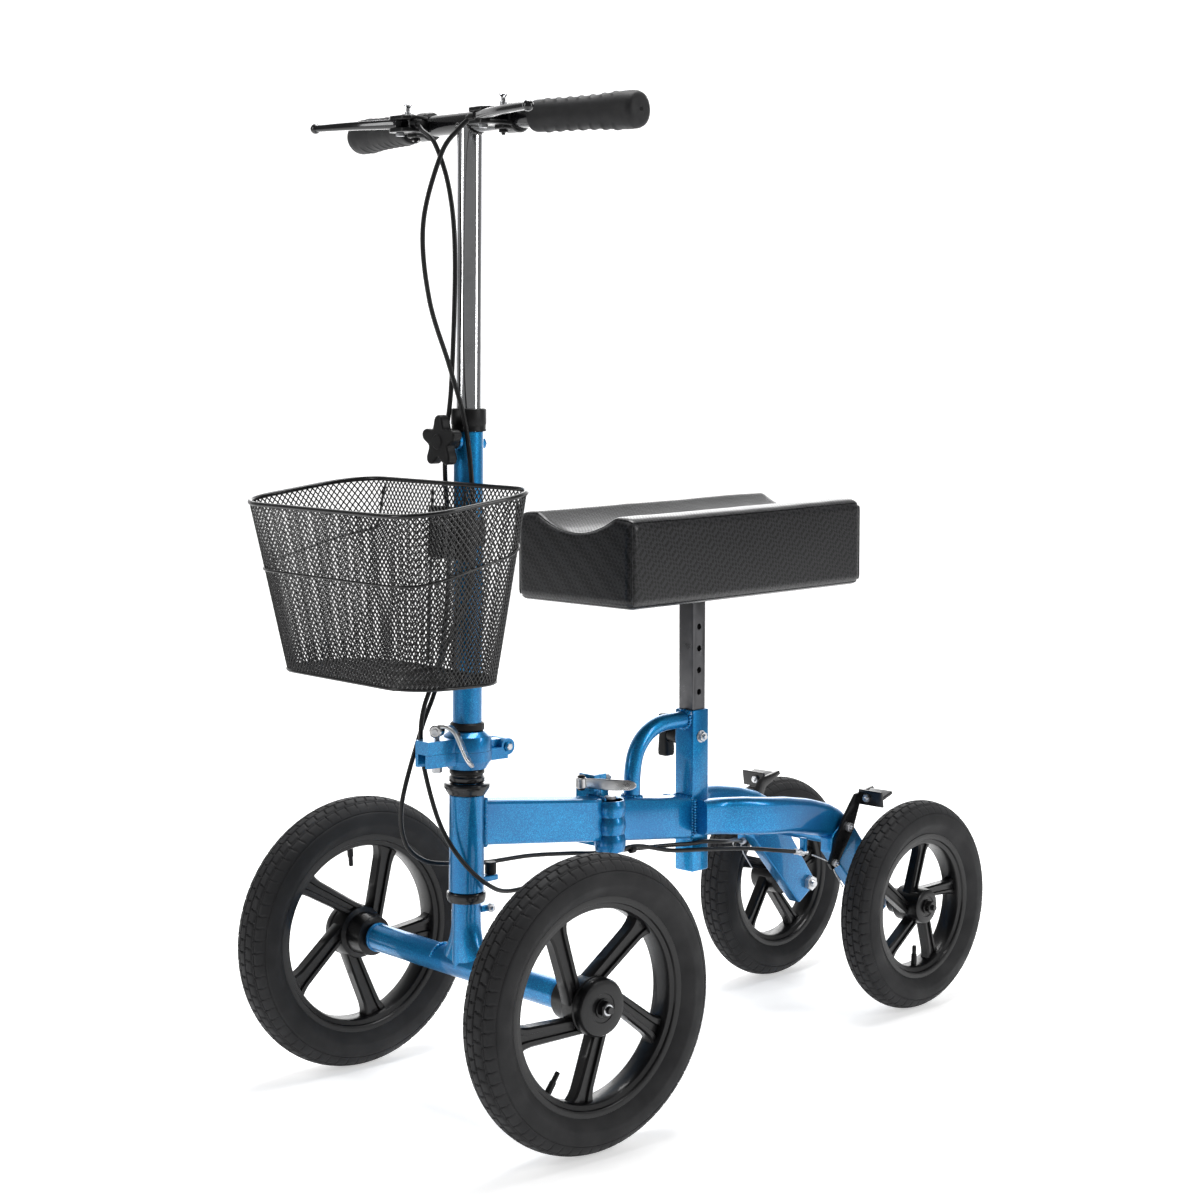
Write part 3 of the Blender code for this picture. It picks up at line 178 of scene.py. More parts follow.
def blue_paint():
    paint = Finish("blue_flake_paint", "blue_paint", (0.001, 0.17, 0.43), 0.25, 0.75, 0.55, 0.04)
    flakes = paint.texture("ShaderNodeTexVoronoi", 1500)
    paint.vary_color(flakes.outputs["Color"], 0.5, 1.0, (0.012, 0.48, 0.86))
    cloud = paint.texture("ShaderNodeTexNoise", 9, Detail=3)
    paint.vary_color(cloud.outputs["Fac"], 0.35, 0.75, (0.001, 0.12, 0.33))
    paint.vary_roughness(flakes.outputs["Distance"], 0.0, 0.6, 0.24, 0.42)
    peel = paint.texture("ShaderNodeTexNoise", 260, Detail=2)
    paint.bump(peel.outputs["Fac"], 0.00012, 0.35)
    return paint


def dark_metal(name, slot, color, roughness, metallic, coat, grain):
    metal = Finish(name, slot, color, roughness, metallic, coat, specular=0.28)
    fine_grain = metal.texture("ShaderNodeTexNoise", grain, Detail=4)
    metal.vary_color(fine_grain.outputs["Fac"], 0.4, 0.8, tuple(c * 1.4 for c in color))
    metal.vary_roughness(fine_grain.outputs["Fac"], 0.3, 0.7, roughness * 0.8, roughness * 1.25)
    metal.bump(fine_grain.outputs["Fac"], 0.0001, 0.5)
    return metal


def bright_metal(name, slot, color, roughness, scratch_scale):
    metal = Finish(name, slot, color, roughness, 1.0)
    wear = metal.texture("ShaderNodeTexNoise", 45, Detail=5)
    metal.vary_roughness(wear.outputs["Fac"], 0.3, 0.75, roughness * 0.7, roughness * 1.8 + 0.02)
    metal.vary_color(wear.outputs["Fac"], 0.45, 0.9, tuple(c * 0.78 for c in color))
    scratches = metal.texture("ShaderNodeTexNoise", scratch_scale, Detail=3)
    metal.bump(scratches.outputs["Fac"], 0.00004, 0.4)
    return metal


def tyre_rubber():
    rubber = Finish("tyre_rubber", "tyre", (0.011, 0.011, 0.0122), 0.56, specular=0.36)
    dust = rubber.texture("ShaderNodeTexNoise", 34, Detail=6)
    rubber.vary_color(dust.outputs["Fac"], 0.42, 0.8, (0.013, 0.013, 0.014))
    rubber.vary_roughness(dust.outputs["Fac"], 0.3, 0.7, 0.58, 0.82)
    pores = rubber.texture("ShaderNodeTexNoise", 900, Detail=3)
    rubber.bump(pores.outputs["Fac"], 0.00015, 0.5)
    return rubber


def grip_rubber():
    rubber = Finish("grip_rubber", "rubber", (0.012, 0.012, 0.013), 0.56, specular=0.32)
    pores = rubber.texture("ShaderNodeTexNoise", 1400, Detail=3)
    rubber.bump(pores.outputs["Fac"], 0.00018, 0.6)
    sheen = rubber.texture("ShaderNodeTexNoise", 60, Detail=4)
    rubber.vary_roughness(sheen.outputs["Fac"], 0.3, 0.7, 0.5, 0.68)
    return rubber


def woven_vinyl():
    """Carbon-look vinyl: a fine diagonal weave pressed into a satin black skin."""
    vinyl = Finish("woven_vinyl", "vinyl", (0.0022, 0.0022, 0.0026), 0.36, specular=0.32)
    turn = vinyl.nodes.new("ShaderNodeMapping")
    turn.inputs["Rotation"].default_value = (radians(45), radians(35.3), radians(0))
    vinyl.links.new(vinyl.coordinates, turn.inputs["Vector"])
    weave = vinyl.nodes.new("ShaderNodeTexChecker")
    vinyl.links.new(turn.outputs["Vector"], weave.inputs["Vector"])
    weave.inputs["Scale"].default_value = 255
    vinyl.vary_color(weave.outputs["Fac"], 0, 1, (0.019, 0.019, 0.021))
    threads = vinyl.nodes.new("ShaderNodeTexWave")
    threads.wave_type = "BANDS"
    threads.bands_direction = "DIAGONAL"
    vinyl.links.new(vinyl.coordinates, threads.inputs["Vector"])
    threads.inputs["Scale"].default_value = 130
    vinyl.vary_roughness(threads.outputs["Fac"], 0, 1, 0.3, 0.42)
    vinyl.bump(weave.outputs["Fac"], 0.00014, 0.6)
    vinyl.bump(threads.outputs["Fac"], 0.0001, 0.4)
    vinyl.set("Sheen Weight", 0.08)
    vinyl.set("Sheen Roughness", 0.18)
    vinyl.set("Coat Weight", 0.16)
    vinyl.set("Coat Roughness", 0.2)
    return vinyl


BLACK = (0.0035, 0.0035, 0.004)
BLUE = blue_paint()
BLACK_STEEL = dark_metal("black_powder_coat", "black_steel", BLACK, 0.32, 0.0, 0.35, 700)
BAR_BLACK = dark_metal("black_bar_paint", "black_steel", (0.008, 0.008, 0.009), 0.16, 0.2, 0.8, 300)
WIRE_BLACK = dark_metal("black_wire_coat", "black_steel", BLACK, 0.34, 0.0, 0.3, 1200)
PLASTIC = dark_metal("black_moulding", "black_plastic", BLACK, 0.46, 0.0, 0.0, 1100)
RIM_BLACK = dark_metal("black_wheel_moulding", "black_plastic", BLACK, 0.36, 0.0, 0.15, 520)
CABLE_BLACK = dark_metal("black_cable_casing", "black_plastic", BLACK, 0.4, 0.0, 0.1, 900)
CHROME = bright_metal("chrome_plate", "chrome", (0.8, 0.81, 0.83), 0.07, 500)
LEVER_SILVER = bright_metal("cast_silver", "chrome", (0.62, 0.62, 0.62), 0.24, 300)
ZINC = bright_metal("zinc_plate", "zinc", (0.58, 0.59, 0.61), 0.28, 800)
POST = bright_metal("dark_post_plate", "post_steel", (0.115, 0.115, 0.12), 0.3, 600)
TYRE = tyre_rubber()
RUBBER = grip_rubber()
VINYL = woven_vinyl()

# ---------------------------------------------------------------- shape tools


def show(name, bm, finish, sharp=38):
    mesh = bpy.data.meshes.new(name)
    bmesh.ops.recalc_face_normals(bm, faces=bm.faces)
    bm.to_mesh(mesh)
    bm.free()
    mesh.materials.append(finish.material)
    mesh.shade_smooth()
    mesh.set_sharp_from_angle(angle=radians(sharp))
    obj = bpy.data.objects.new(name, mesh)
    bpy.context.scene.collection.objects.link(obj)
    return obj


def turn_matrix(turn):
    if isinstance(turn, Matrix):
        return turn.to_4x4()
    return Euler(turn).to_matrix().to_4x4()


def put(obj, body, space, at=(0, 0, 0), turn=UPRIGHT):
    obj.matrix_world = space @ Matrix.Translation(at) @ turn_matrix(turn)
    if body:
        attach(obj, body)
    return obj


def grid_faces(bm, rings, closed_along=False, closed_across=True):
    """Quads between rings of vertices; each ring has the same number of vertices."""
    count = len(rings[0])
    pairs = list(zip(rings, rings[1:]))
    if closed_along:
        pairs.append((rings[-1], rings[0]))
    last = count if closed_across else count - 1
    for a, b in pairs:
        for i in range(last):
            j = (i + 1) % count
            bm.faces.new((a[i], a[j], b[j], b[i]))


def closed_loft(bm, rings):
    """A skin between rings of vertices, with both ends closed."""
    grid_faces(bm, rings)
    bm.faces.new(rings[0])
    bm.faces.new(rings[-1])


def turned(name, profile, finish, steps=48, ring=False, sharp=38):
    """Turn (radius, z) points about z. An open profile starts and ends on the axis."""
    bm = bmesh.new()
    inside = profile if ring else profile[1:-1]
    rings = []
    for k in range(steps):
        a = 2 * pi * k / steps
        rings.append([bm.verts.new((r * cos(a), r * sin(a), z)) for r, z in inside])
    grid_faces(bm, rings, True, ring)
    if not ring:
        for end, index in ((profile[0][1], 0), (profile[-1][1], -1)):
            pole = bm.verts.new((0, 0, end))
            for k in range(steps):
                bm.faces.new((pole, rings[k][index], rings[(k + 1) % steps][index]))
    return show(name, bm, finish, sharp)


def sleeve(name, outer, inner, low, high, finish, steps=48, edge=0.0006):
    profile = [(outer, low + edge), (outer, high - edge), (outer - edge, high), (inner, high), (inner, low),
               (outer - edge, low)]
    return turned(name, profile, finish, steps, True)


def peg(name, radius, length, finish, steps=32, edge=0.0006):
    """A round bar with softened ends, centred on the origin along z."""
    half = length / 2
    edge = min(edge, radius * 0.4, half * 0.4)
    profile = [(0, half), (radius - edge, half), (radius, half - edge), (radius, edge - half),
               (radius - edge, -half), (0, -half)]
    return turned(name, profile, finish, steps)


def hex_nut(name, across, height, finish, dome=0.0):
    """A hexagon with chamfered corners, and a rounded bolt end standing out of it."""
    bm = bmesh.new()
    radius = across / sqrt(3)
    levels = ((-height / 2, 1.0), (height / 2 - height * 0.12, 1.0), (height / 2, 0.9))
    rings = [[bm.verts.new((radius * k * cos(pi / 3 * i), radius * k * sin(pi / 3 * i), z))
              for i in range(6)] for z, k in levels]
    grid_faces(bm, rings)
    bm.faces.new(rings[0][::-1])
    bm.faces.new(rings[-1])
    if dome:
        bolt = bmesh.ops.create_cone(bm, cap_ends=True, segments=20, radius1=dome, radius2=dome * 0.8,
                                     depth=height * 0.7)
        bmesh.ops.translate(bm, vec=(0, 0, height * 0.75), verts=bolt["verts"])
    return show(name, bm, finish, 30)


def frames_along(points, closed=False):
    """A tangent and two side directions at each point, with no twist."""
    count = len(points)
    tangents = []
    for i in range(count):
        before = points[i - 1] if closed or i else points[0]
        after = points[(i + 1) % count] if closed or i < count - 1 else points[-1]
        tangents.append((after - before).normalized())
    side = tangents[0].orthogonal().normalized()
    frames = []
    for tangent in tangents:
        side = (side - tangent * side.dot(tangent)).normalized()
        frames.append((side, tangent.cross(side)))
    return frames


def level_side(u, v):
    """The level one of two side directions, so that a section swept along a route stays upright."""
    across = u if abs(u.z) < abs(v.z) else v
    return Vector((across.x, across.y, 0)).normalized()


def add_pipe(bm, points, radius, sides, closed=False, radii=None):
    points = [Vector(p) for p in points]
    rings = []
    for i, (point, (u, v)) in enumerate(zip(points, frames_along(points, closed))):
        r = radii[i] if radii else radius
        rings.append([bm.verts.new(point + u * (r * cos(2 * pi * k / sides)) + v
                                   * (r * sin(2 * pi * k / sides))) for k in range(sides)])
    grid_faces(bm, rings, closed)
    if not closed:
        bm.faces.new(rings[0])
        bm.faces.new(rings[-1])


def pipe(name, points, radius, finish, sides=16, closed=False, radii=None):
    bm = bmesh.new()
    add_pipe(bm, points, radius, sides, closed, radii)
    return show(name, bm, finish, 50)


def soften(bm, width, segments=2, angle=28):
    edges = [e for e in bm.edges if len(e.link_faces) == 2 and e.calc_face_angle(0) > radians(angle)]
    bmesh.ops.bevel(bm, geom=edges, offset=width, segments=segments, profile=0.6, affect="EDGES",
                    clamp_overlap=True)


def box(name, size, finish, bevel=0.001, segments=3):
    bm = bmesh.new()
    bmesh.ops.create_cube(bm, size=1)
    bmesh.ops.scale(bm, vec=Vector(size), verts=bm.verts)
    soften(bm, bevel, segments)
    return show(name, bm, finish, 45)


def prism(name, outline, thickness, finish, bevel=0.001, segments=3, angle=28):
    """A flat outline in the local xy plane, thickened to both sides, with softened edges."""
    bm = bmesh.new()
    low = [bm.verts.new((x, y, -thickness / 2)) for x, y in outline]
    high = [bm.verts.new((x, y, thickness / 2)) for x, y in outline]
    grid_faces(bm, [low, high])
    bm.faces.new(low[::-1])
    bm.faces.new(high)
    bmesh.ops.recalc_face_normals(bm, faces=bm.faces)
    if bevel:
        soften(bm, bevel, segments, angle)
    return show(name, bm, finish, 45)


def bore(obj, at, radius, depth=0.05):
    """Cut a round upright hole through a piece that has not been placed yet."""
    bm = bmesh.new()
    bmesh.ops.create_cone(bm, cap_ends=True, segments=32, radius1=radius, radius2=radius, depth=depth)
    mesh = bpy.data.meshes.new("drill")
    bm.to_mesh(mesh)
    bm.free()
    drill = bpy.data.objects.new("drill", mesh)
    bpy.context.scene.collection.objects.link(drill)
    drill.location = (*at, 0)
    cut = obj.modifiers.new("bore", "BOOLEAN")
    cut.operation, cut.solver, cut.object = "DIFFERENCE", "EXACT", drill
    bpy.context.view_layer.update()
    bored = bpy.data.meshes.new_from_object(obj.evaluated_get(bpy.context.evaluated_depsgraph_get()))
    obj.modifiers.clear()
    obj.data = bored
    bpy.data.objects.remove(drill)
    bored.set_sharp_from_angle(angle=radians(45))


def arc(cx, cy, radius, start, end, count):
    angles = [radians(start + (end - start) * i / count) for i in range(count + 1)]
    return [(cx + radius * cos(a), cy + radius * sin(a)) for a in angles]


def smooth_route(points, spacing):
    """Points at an even spacing on a Catmull-Rom curve through the given points."""
    pts = [Vector(p) for p in points]
    padded = [2 * pts[0] - pts[1], *pts, 2 * pts[-1] - pts[-2]]
    fine = []
    for a, b, c, d in zip(padded, padded[1:], padded[2:], padded[3:]):
        for i in range(24):
            t = i / 24
            fine.append(0.5 * ((2 * b) + (c - a) * t + (2 * a - 5 * b + 4 * c - d) * t * t
                               + (3 * b - a - 3 * c + d) * t ** 3))
    fine.append(pts[-1])
    lengths = [(q - p).length for p, q in zip(fine, fine[1:])]
    count = max(2, round(sum(lengths) / spacing))
    step = sum(lengths) / count
    route, travelled, target = [fine[0]], 0.0, step
    for p, q, length in zip(fine, fine[1:], lengths):
        while travelled + length >= target and len(route) < count:
            route.append(p.lerp(q, (target - travelled) / length))
            target += step
        travelled += length
    return route + [fine[-1]]


def fine_copy(node, finish, bevel=0.001, segments=3, sharp=40):
    """The CAD node again, welded, with its hard edges rounded over."""
    bm = bmesh.new()
    bm.from_mesh(frame["nodes"][node].data)
    bmesh.ops.remove_doubles(bm, verts=bm.verts, dist=0.00001)
    bmesh.ops.dissolve_limit(bm, angle_limit=radians(1.5), verts=bm.verts, edges=bm.edges)
    obj = show(f"{node}_finish", bm, finish, sharp)
    if bevel:
        mod = obj.modifiers.new("rounded_edges", "BEVEL")
        mod.width = bevel
        mod.segments = segments
        mod.limit_method = "ANGLE"
        mod.angle_limit = radians(32)
        mod.harden_normals = True
    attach(obj, BODY_OF[node])
    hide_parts(node)
    return obj


def weld(name, body, space, points, finish=BLUE, radius=0.0024, closed=True):
    """A rippled weld bead along a line of points."""
    route = smooth_route(points + [points[0]] if closed else points, 0.0011)
    if closed:
        route = route[:-1]
    radii = [radius * (1 + 0.22 * sin(i * 2.1) + 0.1 * noise.noise(p * 400)) for i, p in enumerate(route)]
    obj = pipe(name, route, radius, finish, 8, closed, radii)
    return put(obj, body, space)


# ---------------------------------------------------------------- wheels


TREAD_DEPTH = 0.0017
TREAD_HALF_ARC = radians(64)
TREAD_GROOVES = (0.17, 0.47)        # lines round the tyre, as shares of the tread's half width
SIDEWALL_RINGS = (0.48, 0.66, 0.78)
BEAD_DEPTH = 0.012
SPOKES = 5
HUB_LEAD, HUB_TRAIL, RIM_LEAD, RIM_TRAIL = 1.15, 0.05, 0.04, 0.26        # a spoke's corners, in radians


def tread_height(across, along, depth):
    """Height of the tread pattern; across runs -1..1 over the tread, along counts the block pitches."""
    a = abs(across)
    if a > 1.0:
        return 0.0
    edge_fade = min(1.0, (1.0 - a) / 0.06)
    for groove in TREAD_GROOVES:
        if abs(a - groove) < 0.022:
            return 0.0
    inner, outer = TREAD_GROOVES
    if a < inner:
        phase = along + 0.5 * a
    elif a < outer:
        phase = along + 0.5 - 0.6 * (a - inner)
    else:
        phase = along + 0.35 * (a - outer)
    if phase % 1.0 < 0.12:
        return 0.0
    return depth * edge_fade


def tyre(label, axis_body, space, at, radius, width, rim, pitches):
    """Air tyre with cut tread blocks, plain sidewalls and moulded rings beside the bead."""
    bm = bmesh.new()
    per_pitch, across_count = 12, 72
    height, half = radius - rim, width / 2
    rings = []
    for k in range(pitches * per_pitch):
        a = 2 * pi * k / (pitches * per_pitch)
        ring = []
        for i in range(across_count + 1):
            b = pi * i / across_count
            bulge = sin(b) ** 0.75
            r = rim + BEAD_DEPTH + (height - BEAD_DEPTH) * bulge
            z = half * cos(b)
            across = (b - pi / 2) / TREAD_HALF_ARC
            lift = tread_height(across, k / per_pitch, TREAD_DEPTH)
            r += (lift - TREAD_DEPTH) * sin(b) if abs(across) <= 1 else 0
            for line in SIDEWALL_RINGS:
                if abs(abs(cos(b)) - line * 0.985 - 0.13) < 0.011:
                    z -= 0.0009 * (1 if z > 0 else -1)
            ring.append(bm.verts.new((r * cos(a), r * sin(a), z)))
        for z in (-half * 0.6, half * 0.6):
            ring.append(bm.verts.new((rim * cos(a), rim * sin(a), z)))
        rings.append(ring)
    grid_faces(bm, rings, True, True)
    obj = show(f"tyre_{label}_tread", bm, TYRE, 42)
    put(obj, axis_body, space, at, ALONG_X)
    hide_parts(f"tyre_{label}")
    return obj


def rim_shell(name, radius, half):
    """The rim's barrel: rolled flanges outside and a stepped, dished inside."""
    edge = [(radius + 0.0012, half), (radius + 0.0022, half - 0.0012), (radius - 0.0005, half - 0.0035),
            (radius - 0.007, half - 0.006)]
    dish = [(radius - 0.0125, 0.0012), (radius - 0.0121, half - 0.006), (radius - 0.0108, half - 0.004),
            (radius - 0.0062, half - 0.0028), (radius - 0.0052, half - 0.0008), (radius - 0.0032, half)]
    profile = edge + [(r, -z) for r, z in edge[::-1]] + [(r, -z) for r, z in dish[::-1]] + dish
    return turned(name, profile, RIM_BLACK, 112, True, 35)


def spoke(name, hub_radius, rim_radius, thickness):
    """One straight spoke, set off to one side of the hub, with a raised edge along each side."""
    bm = bmesh.new()
    stations = 12
    rings = []
    for i in range(stations + 1):
        t = i / stations
        flare = radians(2.5) * max(0.0, (t - 0.8) / 0.2) ** 2
        lead = Vector((hub_radius * cos(HUB_LEAD), hub_radius * sin(HUB_LEAD), 0))
        trail = Vector((hub_radius * cos(HUB_TRAIL), hub_radius * sin(HUB_TRAIL), 0))
        lead = lead.lerp(Vector((rim_radius * cos(flare - RIM_LEAD), rim_radius * sin(flare - RIM_LEAD),
                                 0)), t)
        trail = trail.lerp(Vector((rim_radius * cos(-RIM_TRAIL - flare),
                                   rim_radius * sin(-RIM_TRAIL - flare), 0)), t)
        middle = (lead + trail) / 2
        reach = lead - middle
        half = thickness / 2 * (1.0 - 0.12 * t)
        edge = 0.0022 / reach.length
        face = [(-1, half * 0.7), (edge - 1, half), (-0.4, half), (-0.3, half * 0.66), (0.3, half * 0.66),
                (0.4, half), (1 - edge, half), (1, half * 0.7)]
        section = face[::-1] + [(u, -w) for u, w in face]
        rings.append([bm.verts.new(middle + reach * u + Vector((0, 0, w))) for u, w in section])
    closed_loft(bm, rings)
    return show(name, bm, RIM_BLACK, 34)


def wheel(label, body, space, at, side, radius, width, rim, rim_half, pitches, hub_profile, spoke_hub,
          thickness, phase):
    outward = (0, pi / 2 * side, 0)
    tyre(label, body, space, at, radius, width, rim, pitches)
    shell = put(rim_shell(f"rim_{label}_shell", rim, rim_half), body, space, at, outward)
    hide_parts(f"rim_{label}")
    put(turned(f"rim_{label}_hub", hub_profile, RIM_BLACK, 64), body, space, at, outward)
    base = Matrix.Rotation(pi / 2 * side, 3, "Y")
    for k in range(SPOKES):
        spin = Matrix.Rotation(2 * pi * k / SPOKES + phase, 3, "Z")
        piece = spoke(f"rim_{label}_spoke_{k}", spoke_hub, rim - 0.011, thickness)
        put(piece, body, space, at, base @ spin)
    valve_spin = Matrix.Rotation(phase - pi / SPOKES, 3, "Z")
    stem_at = Vector(at) + base @ (valve_spin @ Vector((rim - 0.023, 0, 0.003)))
    put(turned(f"valve_{label}", [(0, 0.013), (0.0022, 0.013), (0.0026, 0.011), (0.0026, 0.003),
                                  (0.0034, 0.002), (0.0036, -0.012), (0, -0.012)], PLASTIC, 20), body,
        space, stem_at, base @ valve_spin @ Matrix.Rotation(-pi / 2, 3, "Y"))


FRONT_HUB = [(0, 0.0215), (0.0145, 0.0215), (0.015, 0.0222), (0.0245, 0.0222), (0.028, 0.0212),
             (0.0297, 0.0185), (0.03, 0.012), (0.0285, 0.0105), (0.03, 0.009), (0.03, -0.006),
             (0.0285, -0.01), (0.0235, -0.012), (0.022, -0.033), (0.02, -0.034), (0, -0.034)]
REAR_HUB = [(0, 0.02), (0.012, 0.02), (0.0125, 0.0208), (0.018, 0.0208), (0.0205, 0.0195), (0.0212, 0.0165),
            (0.0212, -0.016), (0.018, -0.02), (0.0155, -0.0215), (0.015, -0.0305), (0, -0.031)]


def axle_end(name, body, space, at, side, nut_across, finish):
    """Washer, nut and bolt end on the outside of a wheel."""
    put(turned(f"{name}_washer", [(0, 0.0012), (nut_across * 0.62, 0.0012), (nut_across * 0.66, 0.0006),
                                  (nut_across * 0.66, 0), (0, 0)], finish, 32), body, space, at,
        (0, pi / 2 * side, 0))
    put(hex_nut(f"{name}_nut", nut_across, 0.0065, finish, dome=nut_across * 0.3), body, space,
        Vector(at) + Vector((side * 0.0045, 0, 0)), (0, pi / 2 * side, 0))


def wheels():
    for label, side in SIDES:
        wheel(f"front_{label}", f"wheel_front_{label}", STEERED, (side * FRONT_X, 0, FRONT_RADIUS), side,
              FRONT_RADIUS, FRONT_WIDTH, FRONT_RIM, 0.017, FRONT_PITCHES, FRONT_HUB, 0.027, 0.017,
              0.02 if side > 0 else 0.55)
        wheel(f"rear_{label}", f"wheel_rear_{label}", LEVEL, (side * REAR_X, REAR_Y, REAR_RADIUS), side,
              REAR_RADIUS, REAR_WIDTH, REAR_RIM, 0.016, REAR_PITCHES, REAR_HUB, 0.0185, 0.015,
              0.6 if side > 0 else 0.25)
        axle_end(f"front_axle_{label}", "fork", STEERED, (side * (FRONT_X + 0.0225), 0, FRONT_RADIUS), side,
                 0.015, BLACK_STEEL)
        axle_end(f"rear_axle_{label}", "rear_frame", LEVEL, (side * (REAR_X + 0.021), REAR_Y, REAR_RADIUS),
                 side, 0.013, BLACK_STEEL)
        inner = hex_nut(f"rear_axle_inner_nut_{label}", 0.0165, 0.0062, ZINC, dome=0.0048)
        put(inner, "rear_frame", LEVEL, (side * 0.0488, REAR_Y, REAR_RADIUS), (0, -pi / 2 * side, 0))
        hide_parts(f"rear_axle_{label}")
        put(peg(f"rear_axle_bar_{label}", 0.0054, 0.09, ZINC), "rear_frame", LEVEL,
            (side * 0.093, REAR_Y, REAR_RADIUS), ALONG_X)
        put(sleeve(f"rear_axle_spacer_{label}", 0.009, 0.0054, -0.0052, 0.0052, ZINC, 32), "rear_frame",
            LEVEL, (side * 0.0755, REAR_Y, REAR_RADIUS), ALONG_X)
    rod = put(peg("front_axle_bar", 0.006, 0.46, ZINC), "fork", STEERED, (0, 0, FRONT_RADIUS), ALONG_X)
    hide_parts("front_axle")


# ---------------------------------------------------------------- rear frame


def beam_z(y):
    return BEAM_START_Z - BEAM_SLOPE * y


def rounded_rect(width, height, radius, count=5):
    w, h = width / 2 - radius, height / 2 - radius
    return (arc(w, h, radius, 0, 90, count) + arc(-w, h, radius, 90, 180, count)
            + arc(-w, -h, radius, 180, 270, count) + arc(w, -h, radius, 270, 360, count))


def between(table, x):
    """Straight-line reading of a table of (x, value) points."""
    for (x0, v0), (x1, v1) in zip(table, table[1:]):
        if x <= x1:
            return v0 + (v1 - v0) * (x - x0) / (x1 - x0)
    return table[-1][1]


ARM_PATH = [(0.0259, 0.343), (0.03, 0.37), (0.042, 0.396), (0.052, 0.424), (0.0555, 0.456), (0.056, 0.5),
            (0.057, 0.564)]
ARM_TOP = [(0.33, 0.286), (0.4, 0.2835), (0.46, 0.277), (0.5, 0.2695), (0.535, 0.259), (0.555, 0.249),
           (0.566, 0.238)]
ARM_BOTTOM = [(0.33, 0.246), (0.4, 0.24), (0.46, 0.234), (0.5, 0.226), (0.548, 0.2155), (0.566, 0.2185)]


def rear_arm(label, side):
    """A curved arm of rounded rectangular section, with the strut that runs down to the axle."""
    route = smooth_route([(side * x, y, 0) for x, y in ARM_PATH], 0.006)
    bm = bmesh.new()
    rings = []
    for point, (u, v) in zip(route, frames_along(route)):
        across = level_side(u, v)
        top, bottom = between(ARM_TOP, point.y), between(ARM_BOTTOM, point.y)
        section = rounded_rect(0.0226, top - bottom, min(0.0085, (top - bottom) * 0.4), 6)
        middle = Vector((point.x, point.y, (top + bottom) / 2))
        if across.x < 0:
            across = -across
        rings.append([bm.verts.new(middle + across * a + Vector((0, 0, b))) for a, b in section])
    closed_loft(bm, rings)
    arm = put(show(f"rear_arm_{label}_tube", bm, BLUE, 40), "rear_frame", LEVEL)
    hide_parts(f"rear_arm_{label}")
    drop = [(0.53, 0.219), (0.53, 0.201), (0.619, 0.104), (0.653, 0.125), (0.604, 0.1905),
            (0.584, 0.215), (0.56, 0.243)]
    put(prism(f"rear_drop_plate_{label}", drop, 0.018, BLUE, 0.0026, 4), "rear_frame", LEVEL,
        (side * 0.061, 0, 0), (pi / 2, 0, pi / 2))
    seam = [(side * 0.0515, 0.53 + 0.006 * i, between(ARM_BOTTOM, 0.53 + 0.006 * i) + 0.0005)
            for i in range(6)]
    weld(f"rear_arm_weld_{label}", "rear_frame", LEVEL, seam, closed=False, radius=0.002)


def beam_loop(y, half_width, half_height):
    """A rounded rectangle round the beam at one place along it, for a weld to follow."""
    z = beam_z(y)
    shape = rounded_rect(2 * half_width, 2 * half_height, 0.005, 2)
    return [(a, y, z + b) for a, b in shape]


